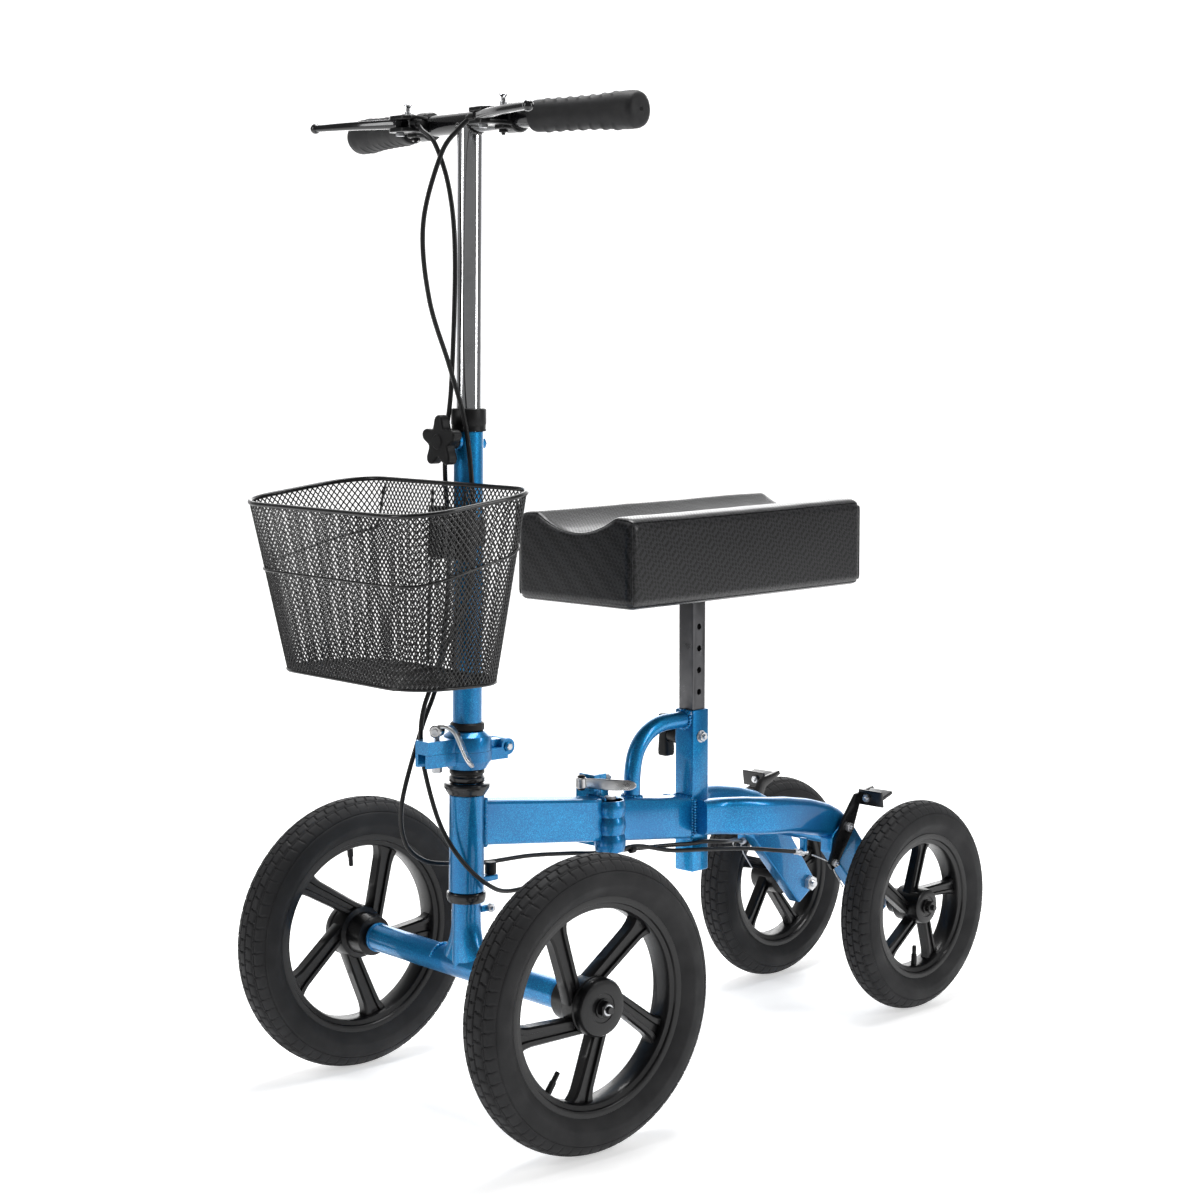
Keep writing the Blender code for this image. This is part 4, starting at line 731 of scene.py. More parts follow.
def rear_frame():
    fine_copy("rear_beam", BLUE, 0.0034, 4)
    fine_copy("seat_tube", BLUE, 0.002, 3)
    fine_copy("frame_joint_rear", BLUE, 0.0012)
    fine_copy("frame_hinge_pin", ZINC, 0.0006)
    brace = [(0, 0.2545, 0.285), (0, 0.2545, 0.31), (0, 0.256, 0.33), (0, 0.261, 0.348), (0, 0.272, 0.3625),
             (0, 0.288, 0.3725), (0, 0.308, 0.377), (0, 0.3425, 0.377)]
    tube = put(pipe("support_tube_bend", smooth_route(brace, 0.004), 0.0096, BLUE, 36), "rear_frame", LEVEL)
    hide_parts("support_tube")
    cross = put(peg("rear_cross_tube_finish", 0.0125, 0.104, BLUE, 40), "rear_frame", LEVEL,
                (0, 0.568, 0.214), ALONG_X)
    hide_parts("rear_cross_tube")
    for label, side in SIDES:
        rear_arm(label, side)
        bolt = put(peg(f"brake_pivot_shaft_{label}", 0.003, 0.032, ZINC, 24), "rear_frame", LEVEL,
                   (side * 0.064, 0.5525, 0.23), ALONG_X)
        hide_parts(f"brake_pivot_bolt_{label}")
        put(hex_nut(f"brake_pivot_nut_{label}", 0.01, 0.0048, ZINC, dome=0.0028), "rear_frame", LEVEL,
            (side * 0.0793, 0.5525, 0.23), (0, pi / 2 * side, 0))
        foot = [(side * 0.017, 0.343, 0.247), (side * 0.017, 0.343, 0.285)]
        weld(f"arm_root_weld_{label}", "rear_frame", LEVEL, foot, closed=False)
        lower = [(side * 0.014, 0.345 + 0.0045 * i, 0.245) for i in range(6)]
        weld(f"arm_under_weld_{label}", "rear_frame", LEVEL, lower, closed=False, radius=0.002)
    weld("seat_tube_beam_weld", "rear_frame", LEVEL, beam_loop(SEAT_Y - 0.0146, 0.014, 0.0242))
    ring = [(0.01 * cos(a), 0.2545 + 0.01 * sin(a), beam_z(0.2545) + 0.0246 - BEAM_SLOPE * 0.01 * sin(a))
            for a in [2 * pi * k / 16 for k in range(16)]]
    weld("support_tube_foot_weld", "rear_frame", LEVEL, ring)
    ring = [(0.01 * cos(a), 0.3418, 0.377 + 0.01 * sin(a)) for a in [2 * pi * k / 16 for k in range(16)]]
    weld("support_tube_top_weld", "rear_frame", LEVEL, ring)
    weld("rear_joint_plate_weld", "rear_frame", LEVEL, beam_loop(0.216, 0.0146, 0.024))
    bolt = hex_nut("seat_tube_bolt", 0.0105, 0.005, ZINC, dome=0.0032)
    put(bolt, "rear_frame", LEVEL, (0.0166, SEAT_Y, 0.357), ALONG_X)
    put(peg("seat_tube_bolt_washer", 0.0072, 0.0014, ZINC), "rear_frame", LEVEL, (0.0146, SEAT_Y, 0.357),
        ALONG_X)
    put(sleeve("seat_tube_screw_boss", 0.0095, 0.005, -0.003, 0.003, BLUE, 32), "rear_frame", LEVEL,
        (-0.0152, SEAT_Y, SEAT_SCREW_Z), ALONG_X)
    put(sleeve("cable_clip", 0.0046, 0.0026, -0.0035, 0.0035, PLASTIC, 24), "rear_frame", LEVEL,
        (0.0045, 0.25, 0.2392), ALONG_Y)


# ---------------------------------------------------------------- rear brakes


def rear_brakes():
    for label, side in SIDES:
        body = f"brake_arm_{label}"
        x = side * 0.0745
        strip = [(0.518, 0.19), (0.5235, 0.182), (0.533, 0.185), (0.562, 0.223), (0.576, 0.256),
                 (0.604, 0.269), (0.602, 0.2735), (0.568, 0.268), (0.542, 0.238)]
        arm = prism(f"{body}_strip", strip, 0.004, BLACK_STEEL, 0.0007, 2)
        put(arm, body, LEVEL, (x, 0, 0), (pi / 2, 0, pi / 2))
        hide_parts(body)
        put(box(f"{body}_shoe", (0.035, 0.0215, 0.004), BLACK_STEEL, 0.0009), body, LEVEL,
            (side * 0.0915, 0.587, 0.2672), (0.3, 0, 0))
        put(box(f"{body}_shoe_lip", (0.035, 0.003, 0.019), BLACK_STEEL, 0.0009), body, LEVEL,
            (side * 0.0925, 0.5765, 0.264), (0.15, 0, 0))
        put(hex_nut(f"{body}_shoe_screw", 0.009, 0.0045, ZINC, dome=0.0028), body, LEVEL,
            (side * 0.088, 0.5735, 0.264), (pi / 2 + 0.15, 0, 0))
        put(hex_nut(f"{body}_cable_anchor", 0.008, 0.0046, ZINC, dome=0.0024), body, LEVEL,
            (side * 0.0788, 0.527, 0.19), (0, pi / 2 * side, 0))
        put(pipe(f"brake_wire_{label}", [(side * 0.054, 0.5118, 0.199), (side * 0.062, 0.518, 0.1955),
                                         (side * 0.072, 0.5275, 0.1895), (side * 0.0722, 0.533, 0.178),
                                         (side * 0.0718, 0.55, 0.156)], 0.0008, ZINC, 8), body, LEVEL)


# ---------------------------------------------------------------- seat


PAD_X, PAD_Y, PAD_LOW, PAD_HIGH, PAD_ROUND = 0.09, 0.2, 0.525, 0.627, 0.011


def pad_surface(u, v, w):
    """Place a point of the cube's skin on the pad: rounded edges, a dished top and full sides."""
    half = Vector((PAD_X, PAD_Y, (PAD_HIGH - PAD_LOW) / 2))
    flat = Vector((u * half.x, v * half.y, w * half.z))
    core = Vector([max(-(h - PAD_ROUND), min(h - PAD_ROUND, c)) for c, h in zip(flat, half)])
    away = flat - core
    if away.length > 0:
        away = away.normalized() * PAD_ROUND
    point = core + away
    level = (point.z + half.z) / (2 * half.z)
    a = abs(point.x) / PAD_X
    dip = 0.019 * (1 - min(1.0, (a / 0.66) ** 2.0)) if a < 0.66 else 0.0
    crown = 0.0035 * max(0.0, (a - 0.66) / 0.34) ** 2.5
    rise = 0.0045 * (point.y / PAD_Y) * 0.5
    point.z += (rise * 0.6 - dip - crown) * level ** 3
    puff = (1 - (2 * level - 1) ** 2)
    sideways = Vector((u if abs(u) > 0.999 else 0, v if abs(v) > 0.999 else 0, 0))
    ripple = noise.noise(Vector((point.x * 9, point.y * 9, point.z * 14))) * 0.0011
    small = noise.noise(Vector((point.x * 34, point.y * 34, point.z * 40))) * 0.0003
    point += sideways * (0.0006 * puff - 0.0012 + ripple * 0.5)
    point.z += (ripple + small) * level ** 4 - 0.0008 * level ** 6
    return point + Vector((0, SEAT_Y + 0.003, (PAD_HIGH + PAD_LOW) / 2))


def warp(t):
    """Crowd grid lines towards the ends, where the pad's edges are rounded."""
    return 0.45 * t + 0.55 * sin(t * pi / 2) if abs(t) < 1 else t


def knee_pad():
    bm = bmesh.new()
    bmesh.ops.create_cube(bm, size=2)
    bmesh.ops.subdivide_edges(bm, edges=bm.edges[:], cuts=71, use_grid_fill=True)
    for v in bm.verts:
        v.co = pad_surface(warp(v.co.x), warp(v.co.y), warp(v.co.z))
    pad = put(show("knee_pad_cover", bm, VINYL, 80), "seat", LEVEL)
    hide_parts("knee_pad")
    for sx in (-1, 1):
        for sy in (-1, 1):
            corner = []
            for i in range(28):
                w = -0.93 + 1.84 * i / 27
                p = pad_surface(0.999 * sx, 0.999 * sy, w)
                corner.append(p - Vector((sx, sy, 0)) * 0.0002)
            put(pipe(f"knee_pad_corner_seam_{sx}_{sy}", corner, 0.001, VINYL, 8), "seat", LEVEL)
    plate = box("pad_plate_finish", (0.12, 0.24, 0.0032), BLACK_STEEL, 0.0008)
    put(plate, "seat", LEVEL, (0, SEAT_Y, 0.5231))
    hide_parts("pad_plate")


def seat():
    knee_pad()
    fine_copy("seat_post", POST, 0.0008)


def seat_knob():
    neck = turned("seat_knob_neck", [(0, 0.01), (0.0072, 0.01), (0.0078, 0.009), (0.0092, -0.0085),
                                     (0.0088, -0.0095), (0, -0.0095)], PLASTIC, 32)
    put(neck, "seat_knob", LEVEL, (-0.024, SEAT_Y, SEAT_SCREW_Z), (0, -pi / 2, 0))
    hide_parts("seat_knob")
    handle = [(-0.007, -0.025), (0.007, -0.025), (0.0076, -0.018), (0.006, 0), (0.0076, 0.018),
              (0.007, 0.025), (-0.007, 0.025), (-0.0076, 0.018), (-0.006, 0), (-0.0076, -0.018)]
    put(prism("seat_knob_grip", handle, 0.015, PLASTIC, 0.0032, 4, 20), "seat_knob", LEVEL,
        (-0.0405, SEAT_Y, SEAT_SCREW_Z), (pi / 2, 0, 0))


# ---------------------------------------------------------------- frame folding joint and front frame


def lever_shape(name, body, space, at, turn, length, width, thick, bow, finish):
    """A cast quick-release blade: waisted near the cam, widening to a rounded, curled tip."""
    bm = bmesh.new()
    stations = 26
    rings = []
    for i in range(stations + 1):
        t = i / stations
        along = 0.002 + t * length
        lift = bow * sin(pi * min(1.0, t * 0.95)) + 0.25 * bow * t ** 4
        half = width / 2 * (0.8 + 0.28 * sin(pi * min(1.0, t * 0.9)) - 0.1 * t)
        if t > 0.86:
            half *= sqrt(max(0.05, 1 - ((t - 0.86) / 0.15) ** 2))
        th = thick / 2 * (1.25 - 0.45 * t)
        section = rounded_rect(2 * half, 2 * th, min(th * 0.95, half * 0.9), 4)
        rings.append([bm.verts.new((along, lift + b, a)) for a, b in section])
    closed_loft(bm, rings)
    return put(show(name, bm, finish, 60), body, space, at, turn)


def frame_joint():
    fine_copy("frame_joint_front", BLUE, 0.0012)
    for tag, low, high, body in (("top", 0.285, 0.3035, "rear_frame"),
                                 ("middle", 0.2653, 0.2847, "front_frame"),
                                 ("bottom", 0.2455, 0.265, "rear_frame")):
        profile = [(0, high)] + [(0.015 + 0.003 * sin(pi * (0.12 + 0.76 * i / 8)),
                                  high - (high - low) * i / 8) for i in range(9)] + [(0, low)]
        put(turned(f"frame_hinge_barrel_{tag}", profile, BLUE, 44, sharp=60), body, LEVEL, HINGE_AT)
    weld("front_joint_plate_weld", "front_frame", LEVEL, beam_loop(0.196, 0.0146, 0.024))
    at = (FRAME_CLAMP_X, 0.188, FRAME_CLAMP_Z)
    turn = (0, 0, atan2(0.5, 0.866))
    blade = lever_shape("frame_clamp_lever_blade", "frame_clamp_lever", LEVEL, at, turn, 0.0615, 0.0125,
                        0.0034, -0.005, LEVER_SILVER)
    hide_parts("frame_clamp_lever")
    put(turned("frame_clamp_cam", [(0, 0.0062), (0.005, 0.0062), (0.0066, 0.005), (0.0066, -0.005),
                                   (0.005, -0.0062), (0, -0.0062)], LEVER_SILVER, 36), "frame_clamp_lever",
        LEVEL, at)
    for tag, sign in (("upper", 1), ("lower", -1)):
        put(turned(f"frame_clamp_cap_{tag}", [(0, 0.0026), (0.003, 0.0024), (0.0046, 0.001),
                                              (0.0048, -0.001), (0, -0.001)], PLASTIC, 28),
            "frame_clamp_lever", LEVEL, (at[0], at[1], at[2] + sign * 0.0062),
            (0 if sign > 0 else pi, 0, 0))
    rod = put(peg("frame_clamp_rod", 0.0028, 0.034, ZINC), "front_frame", LEVEL,
              (FRAME_CLAMP_X, 0.207, FRAME_CLAMP_Z), ALONG_Y)
    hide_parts("frame_clamp_skewer")
    put(hex_nut("frame_clamp_nut", 0.0092, 0.0062, ZINC, dome=0.0026), "front_frame", LEVEL,
        (FRAME_CLAMP_X, 0.2275, FRAME_CLAMP_Z), ALONG_Y)


def front_frame():
    fine_copy("front_beam", BLUE, 0.0034, 4)
    tube = put(sleeve("head_tube_finish", 0.0187, 0.016, 0.2326, 0.337, BLUE, 64, 0.0008), "front_frame",
               HEAD)
    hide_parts("head_tube")
    upper = [(0.0228, 0.3494), (0.024, 0.3486), (0.0244, 0.3476), (0.0244, 0.3446), (0.0236, 0.3434),
             (0.0216, 0.34), (0.0203, 0.3384), (0.02, 0.3373), (0.0158, 0.3373), (0.0158, 0.3494)]
    cup = put(turned("headset_upper_cup_finish", upper, BLACK_STEEL, 56, True), "front_frame", HEAD)
    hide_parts("headset_upper_cup")
    lower = [(0.0205, 0.2323), (0.0209, 0.2312), (0.0209, 0.2268), (0.02, 0.223), (0.019, 0.2218),
             (0.0158, 0.2218), (0.0158, 0.2323)]
    cup = put(turned("headset_lower_cup_finish", lower, BLACK_STEEL, 56, True), "front_frame", HEAD)
    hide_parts("headset_lower_cup")
    loop = []
    for a, b in rounded_rect(0.029, 0.048, 0.005, 3):
        y = sqrt(0.019 ** 2 - a * a) - 0.004 + 0.0129 * 0.3
        loop.append((a, y, beam_z(y) + b))
    weld("head_tube_beam_weld", "front_frame", LEVEL, loop, radius=0.0027)


def steering_stop():
    """The cable stop behind the head tube, with its bumper, and the steering stop on the fork."""
    put(box("cable_stop_lug", (0.012, 0.022, 0.006), BLUE, 0.0012), "front_frame", LEVEL,
        (0.0, 0.029, 0.242))
    put(peg("cable_stop_bumper", 0.0062, 0.013, PLASTIC), "front_frame", LEVEL, (0.0, 0.034, 0.252))
    put(box("steering_stop_tab", (0.016, 0.018, 0.007), BLUE, 0.0012), "fork", STEERED, (0, 0.023, 0.212))
    for label, side in SIDES:
        put(hex_nut(f"steering_stop_bolt_{label}", 0.0085, 0.005, ZINC, dome=0.0026), "fork", STEERED,
            (side * 0.0095, 0.026, 0.212), (0, pi / 2 * side, 0))


# ---------------------------------------------------------------- fork and column


def fork():
    steerer = put(peg("fork_steerer", 0.0153, 0.2144, BLUE, 64), "fork", STEERED, (0, 0, 0.2572))
    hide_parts("fork")
    put(peg("fork_axle_tube_finish", 0.0152, 0.32, BLUE, 64), "fork", STEERED, (0, 0, FRONT_RADIUS),
        ALONG_X)
    bm = bmesh.new()
    rings = []
    for i in range(19):
        t = i / 18
        z = 0.212 - 0.056 * t
        spread = 0.0152 + 0.029 * t ** 2.6
        depth = 0.0154 - 0.0012 * t
        section = []
        for k in range(40):
            a = 2 * pi * k / 40
            c, s = cos(a), sin(a)
            section.append((spread * abs(c) ** 0.92 * (1 if c > 0 else -1),
                            depth * abs(s) ** 0.92 * (1 if s > 0 else -1)))
        rings.append([bm.verts.new((x, y, z)) for x, y in section])
    closed_loft(bm, rings)
    put(show("fork_gusset_flare", bm, BLUE, 50), "fork", STEERED)
    for label, side in SIDES:
        put(sleeve(f"fork_axle_tube_lip_{label}", 0.0162, 0.0062, -0.002, 0.002, BLUE, 48), "fork", STEERED,
            (side * 0.158, 0, FRONT_RADIUS), ALONG_X)
        bead = []
        for k in range(9):
            a = radians(-80 + 160 * k / 8)
            bead.append((side * (0.044 - 0.004 * cos(a)), 0.015 * sin(a),
                         FRONT_RADIUS + 0.0152 * cos(a) + 0.0004))
        weld(f"fork_gusset_weld_{label}", "fork", STEERED, bead, closed=False, radius=0.0018)
    locknut = [(0.0172, 0.3646), (0.0184, 0.364), (0.0188, 0.363), (0.0188, 0.36), (0.0176, 0.359),
               (0.0172, 0.3578), (0.0176, 0.3566), (0.019, 0.3556), (0.019, 0.352), (0.0178, 0.3502),
               (0.0156, 0.35), (0.0156, 0.3646)]
    nut = put(turned("headset_locknut_finish", locknut, BLACK_STEEL, 56, True), "fork", STEERED)
    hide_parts("headset_locknut")
    fine_copy("fold_casting_lower", BLUE, 0.0024, 5)
    pin = put(peg("fold_pin_finish", 0.0035, 0.032, ZINC), "fork", STEERED, (0, FOLD_PIN_Y, SPLIT_Z),
              ALONG_X)
    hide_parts("fold_pin")
    for label, side in SIDES:
        put(turned(f"fold_pin_head_{label}", [(0, 0.003), (0.0035, 0.0028), (0.0054, 0.0012), (0.0055, 0),
                                              (0, 0)], BLUE, 32), "fork", STEERED,
            (side * 0.0126, FOLD_PIN_Y, SPLIT_Z), (0, pi / 2 * side, 0))


def bar_point(x):
    """The handlebar's middle line: straight in the middle, swept back towards both ends."""
    slope = BAR_SWEEP / (BAR_TIP - BAR_BEND)
    away = abs(x) - 0.078
    if away <= 0:
        return Vector((x, 0, BAR_Z))
    if away < 0.02:
        return Vector((x, slope * away * away / 0.04, BAR_Z))
    return Vector((x, slope * (away - 0.01), BAR_Z))


def column():
    fine_copy("fold_casting_upper", BLUE, 0.003, 5)
    tube = put(sleeve("stem_tube_finish", 0.0155, 0.0141, 0.4053, 0.721, BLUE, 64), "stem", STEERED)
    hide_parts("stem_tube")
    put(sleeve("stem_black_ring", 0.0182, 0.0156, 0.4052, 0.414, PLASTIC, 56, 0.0015), "stem", STEERED)
    collar = [(0.0166, 0.745), (0.0178, 0.7446), (0.0185, 0.7436), (0.0185, 0.729), (0.018, 0.728),
              (0.018, 0.724), (0.0185, 0.7232), (0.0185, 0.7216), (0.0178, 0.7212), (0.0139, 0.7212),
              (0.0139, 0.745)]
    cap = put(turned("stem_collar_finish", collar, PLASTIC, 56, True), "stem", STEERED)
    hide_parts("stem_collar")
    put(hex_nut("stem_knob_bolt_head", 0.01, 0.0046, BLUE), "stem", STEERED, (0, 0.018, 0.708),
        (-pi / 2, 0, 0))
    put(peg("stem_knob_bolt_boss", 0.0062, 0.003, BLUE), "stem", STEERED, (0, 0.0158, 0.708), ALONG_Y)
    put(peg("stem_knob_boss", 0.0088, 0.004, BLUE), "stem", STEERED, (0, -0.0156, KNOB_Z), ALONG_Y)
    # Clamp at the front of the column's folding joint.
    at = (0, STEM_CLAMP_Y, 0.408)
    heading = atan2(0.56, 0.83)
    skewer = put(peg("stem_clamp_rod", 0.0026, 0.044, ZINC), "stem", STEERED, (0, STEM_CLAMP_Y, 0.386))
    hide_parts("stem_clamp_skewer")
    put(hex_nut("stem_clamp_nut", 0.0095, 0.0062, ZINC), "stem", STEERED, (0, STEM_CLAMP_Y, 0.3672),
        (pi, 0, 0))
    blade = stem_lever(at, heading)
    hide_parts("stem_clamp_lever")
    put(turned("stem_clamp_cam", [(0, 0.0072), (0.0055, 0.0072), (0.0068, 0.006), (0.0068, -0.006),
                                  (0.0055, -0.0072), (0, -0.0072)], LEVER_SILVER, 36), "stem_clamp_lever",
        STEERED, at, Euler((pi / 2, 0, heading)).to_matrix())
    for tag, sign in (("near", 1), ("far", -1)):
        screw = peg(f"stem_clamp_cam_pin_{tag}", 0.0032, 0.0018, ZINC)
        offset = Euler((pi / 2, 0, heading)).to_matrix() @ Vector((0, 0, sign * 0.0078))
        put(screw, "stem_clamp_lever", STEERED, Vector(at) + offset,
            Euler((pi / 2, 0, heading)).to_matrix())


def stem_lever(at, heading):
    """The column clamp's blade: over the cam, then down and outwards past the castings."""
    route = smooth_route([(0.002, 0, 0.005), (0.012, 0, 0.0048), (0.0205, 0, -0.001), (0.0265, 0, -0.013),
                          (0.0325, 0, -0.026), (0.0395, 0, -0.0365)], 0.0016)
    bm = bmesh.new()
    rings = []
    count = len(route)
    for i, p in enumerate(route):
        t = i / (count - 1)
        before, after = route[max(0, i - 1)], route[min(count - 1, i + 1)]
        tangent = (after - before).normalized()
        normal = Vector((-tangent.z, 0, tangent.x))
        half = 0.0058 * (0.95 + 0.15 * sin(pi * t))
        if t > 0.85:
            half *= sqrt(max(0.05, 1 - ((t - 0.85) / 0.16) ** 2))
        th = 0.0018 * (1.25 - 0.4 * t)
        section = rounded_rect(2 * half, 2 * th, th * 0.9, 4)
        rings.append([bm.verts.new(p + Vector((0, a, 0)) + normal * b) for a, b in section])
    closed_loft(bm, rings)
    return put(show("stem_clamp_lever_blade", bm, LEVER_SILVER, 60), "stem_clamp_lever", STEERED, at,
               (0, 0, heading))


def stem_knob():
    hub = turned("stem_knob_hub", [(0, 0.008), (0.0092, 0.008), (0.0096, 0.006), (0.008, 0.002),
                                   (0.0078, -0.008), (0, -0.008)], PLASTIC, 40)
    put(hub, "stem_knob", STEERED, (0, -0.024, KNOB_Z), (pi / 2, 0, 0))
    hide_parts("stem_knob")
    outline = []
    for k in range(5):
        for i in range(20):
            a = 90 + 72 * k + 72 * i / 20
            swing = cos(radians(5 * (a - 90)))
            outline.append((radians(a), 0.022 + 0.0058 * (abs(swing) ** 0.8 * (1 if swing > 0 else -1))))
    put(prism("stem_knob_star", [(r * cos(a), r * sin(a)) for a, r in outline], 0.0125, PLASTIC, 0.0028, 4,
              40), "stem_knob", STEERED, (0, -0.0352, KNOB_Z), (pi / 2, 0, 0))
    put(turned("stem_knob_cap", [(0, 0.0016), (0.007, 0.0014), (0.0086, 0), (0.0086, -0.002), (0, -0.002)],
               PLASTIC, 36), "stem_knob", STEERED, (0, -0.0412, KNOB_Z), (pi / 2, 0, 0))


# ---------------------------------------------------------------- handlebar


def grip(label, side):
    """Rubber grip with rows of raised crescents and a rounded, flanged end."""
    slope = atan2(BAR_SWEEP, BAR_TIP - BAR_BEND)
    length = (BAR_TIP - GRIP_START) / cos(slope)
    bm = bmesh.new()
    stations, around = 120, 72
    profile = [(0.0, 0.0152), (0.02, 0.0162), (0.06, 0.0163), (0.3, 0.016), (0.6, 0.0166), (0.8, 0.0184),
               (0.9, 0.0189), (0.955, 0.0186), (0.985, 0.017), (1.0, 0.0128)]
    rings = []
    for i in range(stations + 1):
        t = i / stations
        base = between(profile, t)
        ring = []
        for k in range(around):
            a = 2 * pi * k / around
            lift = 0.0
            if 0.1 < t < 0.86:
                wave = (t - 0.1) / 0.76 * 7 + 0.3 * cos(a * 2)
                fraction = wave % 1.0
                crest = max(0.0, cos(a * 2)) ** 0.5
                lift = 0.0011 * exp(-((fraction - 0.5) / 0.13) ** 2) * crest if cos(a * 2) > 0 else 0
            r = base + lift
            ring.append(bm.verts.new((r * cos(a), r * sin(a), t * length)))
        rings.append(ring)
    closed_loft(bm, rings)
    piece = show(f"grip_{label}_rubber", bm, RUBBER, 50)
    turn = Matrix.Rotation(slope * side, 3, "Z") @ Matrix.Rotation(pi / 2 * side, 3, "Y")
    start = bar_point(side * GRIP_START)
    put(piece, "handlebar", STEERED, start, turn)
    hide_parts(f"grip_{label}")
    # A thin black disk on the closed grip end stands in for the end hole: painted shade, not a cut hole.
    put(peg(f"grip_{label}_end_hole_painted_shade", 0.0024, 0.0006, BLACK_STEEL), "handlebar", STEERED,
        start + turn @ Vector((0, 0, length - 0.0001)), turn)


def lever_set(label, side):
    """Bar clamp, lever bracket, brake lever, parking pin and cable end on one side."""
    def at(x, y, z=0.0):
        return (side * x, y, BAR_Z + z)

    ring = sleeve(f"lever_clamp_{label}", 0.0152, 0.0112, -0.0085, 0.0085, BLACK_STEEL, 48, 0.0012)
    put(ring, "handlebar", STEERED, at(0.0735, 0), ALONG_X)
    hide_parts(f"lever_bracket_{label}")
    put(box(f"lever_clamp_ears_{label}", (0.015, 0.014, 0.01), BLACK_STEEL, 0.0016), "handlebar", STEERED,
        at(0.0735, -0.014, -0.0075))
    put(hex_nut(f"lever_clamp_bolt_{label}", 0.008, 0.004, BLACK_STEEL, dome=0.0022), "handlebar", STEERED,
        at(0.0735, -0.015, -0.0138), (pi, 0, 0))
    for tag, z in (("upper", 0.0064), ("lower", -0.0064)):
        cheek = [(0.056, -0.012), (0.05, -0.028), (0.049, -0.04), (0.056, -0.046), (0.076, -0.047),
                 (0.0845, -0.042), (0.085, -0.03), (0.0835, -0.011)]
        outline = [(side * x, y) for x, y in cheek]
        plate = prism(f"lever_bracket_{tag}_{label}", outline if side < 0 else outline[::-1], 0.0044,
                      BLACK_STEEL, 0.0012, 3)
        if tag == "upper":
            bore(plate, (side * PARKING_PIN_X, PARKING_PIN_Y), PIN_HOLE_RADIUS)
        put(plate, "handlebar", STEERED, (0, 0, BAR_Z + z))
    put(box(f"lever_bracket_web_{label}", (0.016, 0.013, 0.014), BLACK_STEEL, 0.0012), "handlebar", STEERED,
        at(0.065, -0.018))
    put(peg(f"lever_pivot_{label}", 0.0034, 0.019, ZINC, 28), "handlebar", STEERED, at(0.07, -0.038))
    put(hex_nut(f"lever_pivot_nut_{label}", 0.008, 0.0036, ZINC), "handlebar", STEERED,
        at(0.07, -0.038, -0.0105))
    put(turned(f"lever_cable_ferrule_{label}", [(0, 0.0085), (0.003, 0.0085), (0.0034, 0.007),
                                                (0.0034, 0.003), (0.0048, 0.0026), (0.005, -0.006),
                                                (0, -0.006)], BLACK_STEEL, 28), "handlebar", STEERED,
        at(0.047, -0.0335), (0, -pi / 2 * side, 0))
    # The lever.
    body = f"brake_lever_{label}"
    route = smooth_route([at(0.064, -0.04), at(0.07, -0.04), at(0.09, -0.048), at(0.12, -0.0585),
                          at(0.15, -0.065), at(0.18, -0.07)], 0.003)
    bm = bmesh.new()
    rings = []
    count = len(route)
    for i, (p, (u, v)) in enumerate(zip(route, frames_along(route))):
        t = i / (count - 1)
        across = level_side(u, v)
        half = 0.0076 - 0.0038 * t ** 0.7
        th = 0.0052 - 0.0016 * t
        section = rounded_rect(2 * half, 2 * th, min(half, th) * 0.8, 4)
        rings.append([bm.verts.new(p + across * a + Vector((0, 0, b))) for a, b in section])
    closed_loft(bm, rings)
    blade = put(show(f"{body}_blade", bm, BAR_BLACK, 50), body, STEERED)
    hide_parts(body)
    put(turned(f"{body}_ball", [(0.0056 * sin(pi * i / 14), 0.0056 * cos(pi * i / 14)) for i in range(15)],
               BAR_BLACK, 28), body, STEERED, at(0.179, -0.07))
    # The parking pin.
    pin_body = f"parking_pin_{label}"
    pin = turned(f"{pin_body}_finish", [(0, 0.023), (0.0036, 0.0229), (0.0043, 0.0222), (0.0043, 0.0206),
                                        (0.0026, 0.019), (0.0022, 0.018), (0.0022, 0.0085), (0, 0.0085)],
                 CHROME, 32)
    put(pin, pin_body, STEERED, at(PARKING_PIN_X, PARKING_PIN_Y))
    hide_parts(pin_body)
    coil = [(0.0031 * cos(i * 0.52), 0.0031 * sin(i * 0.52), 0.009 + 0.0055 * i / 84) for i in range(85)]
    put(pipe(f"parking_pin_spring_{label}", coil, 0.0004, ZINC, 6), "handlebar", STEERED,
        at(PARKING_PIN_X, PARKING_PIN_Y))


def handlebar():
    post = sleeve("handlebar_post_finish", 0.0136, 0.012, 0.64, BAR_Z - 0.003, CHROME, 72, 0.0004)
    put(post, "handlebar", STEERED)
    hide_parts("handlebar_post")
    xs = [-0.228, -0.18, -0.14] + [-0.1 + 0.002 * i for i in range(14)] + [-0.06, -0.02, 0.02, 0.06]
    xs += [0.074 + 0.002 * i for i in range(14)] + [0.14, 0.18, 0.228]
    bar = put(pipe("handlebar_finish", [bar_point(x) for x in xs], 0.0111, BAR_BLACK, 40), "handlebar",
              STEERED)
    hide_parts("handlebar")
    bead = []
    for k in range(20):
        a = 2 * pi * k / 20
        x, y = 0.0137 * cos(a), 0.0137 * sin(a)
        bead.append((x, y, BAR_Z - sqrt(max(0.0, 0.0112 ** 2 - min(abs(y), 0.011) ** 2)) - 0.0006))
    weld("handlebar_weld", "handlebar", STEERED, bead, BAR_BLACK, 0.0018)
    for label, side in SIDES:
        grip(label, side)
        lever_set(label, side)


# ---------------------------------------------------------------- basket


def loop_of(width, back, reach, radius):
    """A rounded rectangle as a closed line, starting at the middle of its back edge."""
    x, near, far = width / 2 - radius, -back - radius, -reach + radius
    points = [(0, -back)] + arc(x, near, radius, 90, 0, 12) + arc(x, far, radius, 0, -90, 12)
    points += arc(-x, far, radius, -90, -180, 12) + arc(-x, near, radius, 180, 90, 12) + [(0, -back)]
    lengths = [hypot(q[0] - p[0], q[1] - p[1]) for p, q in zip(points, points[1:])]
    return points, lengths


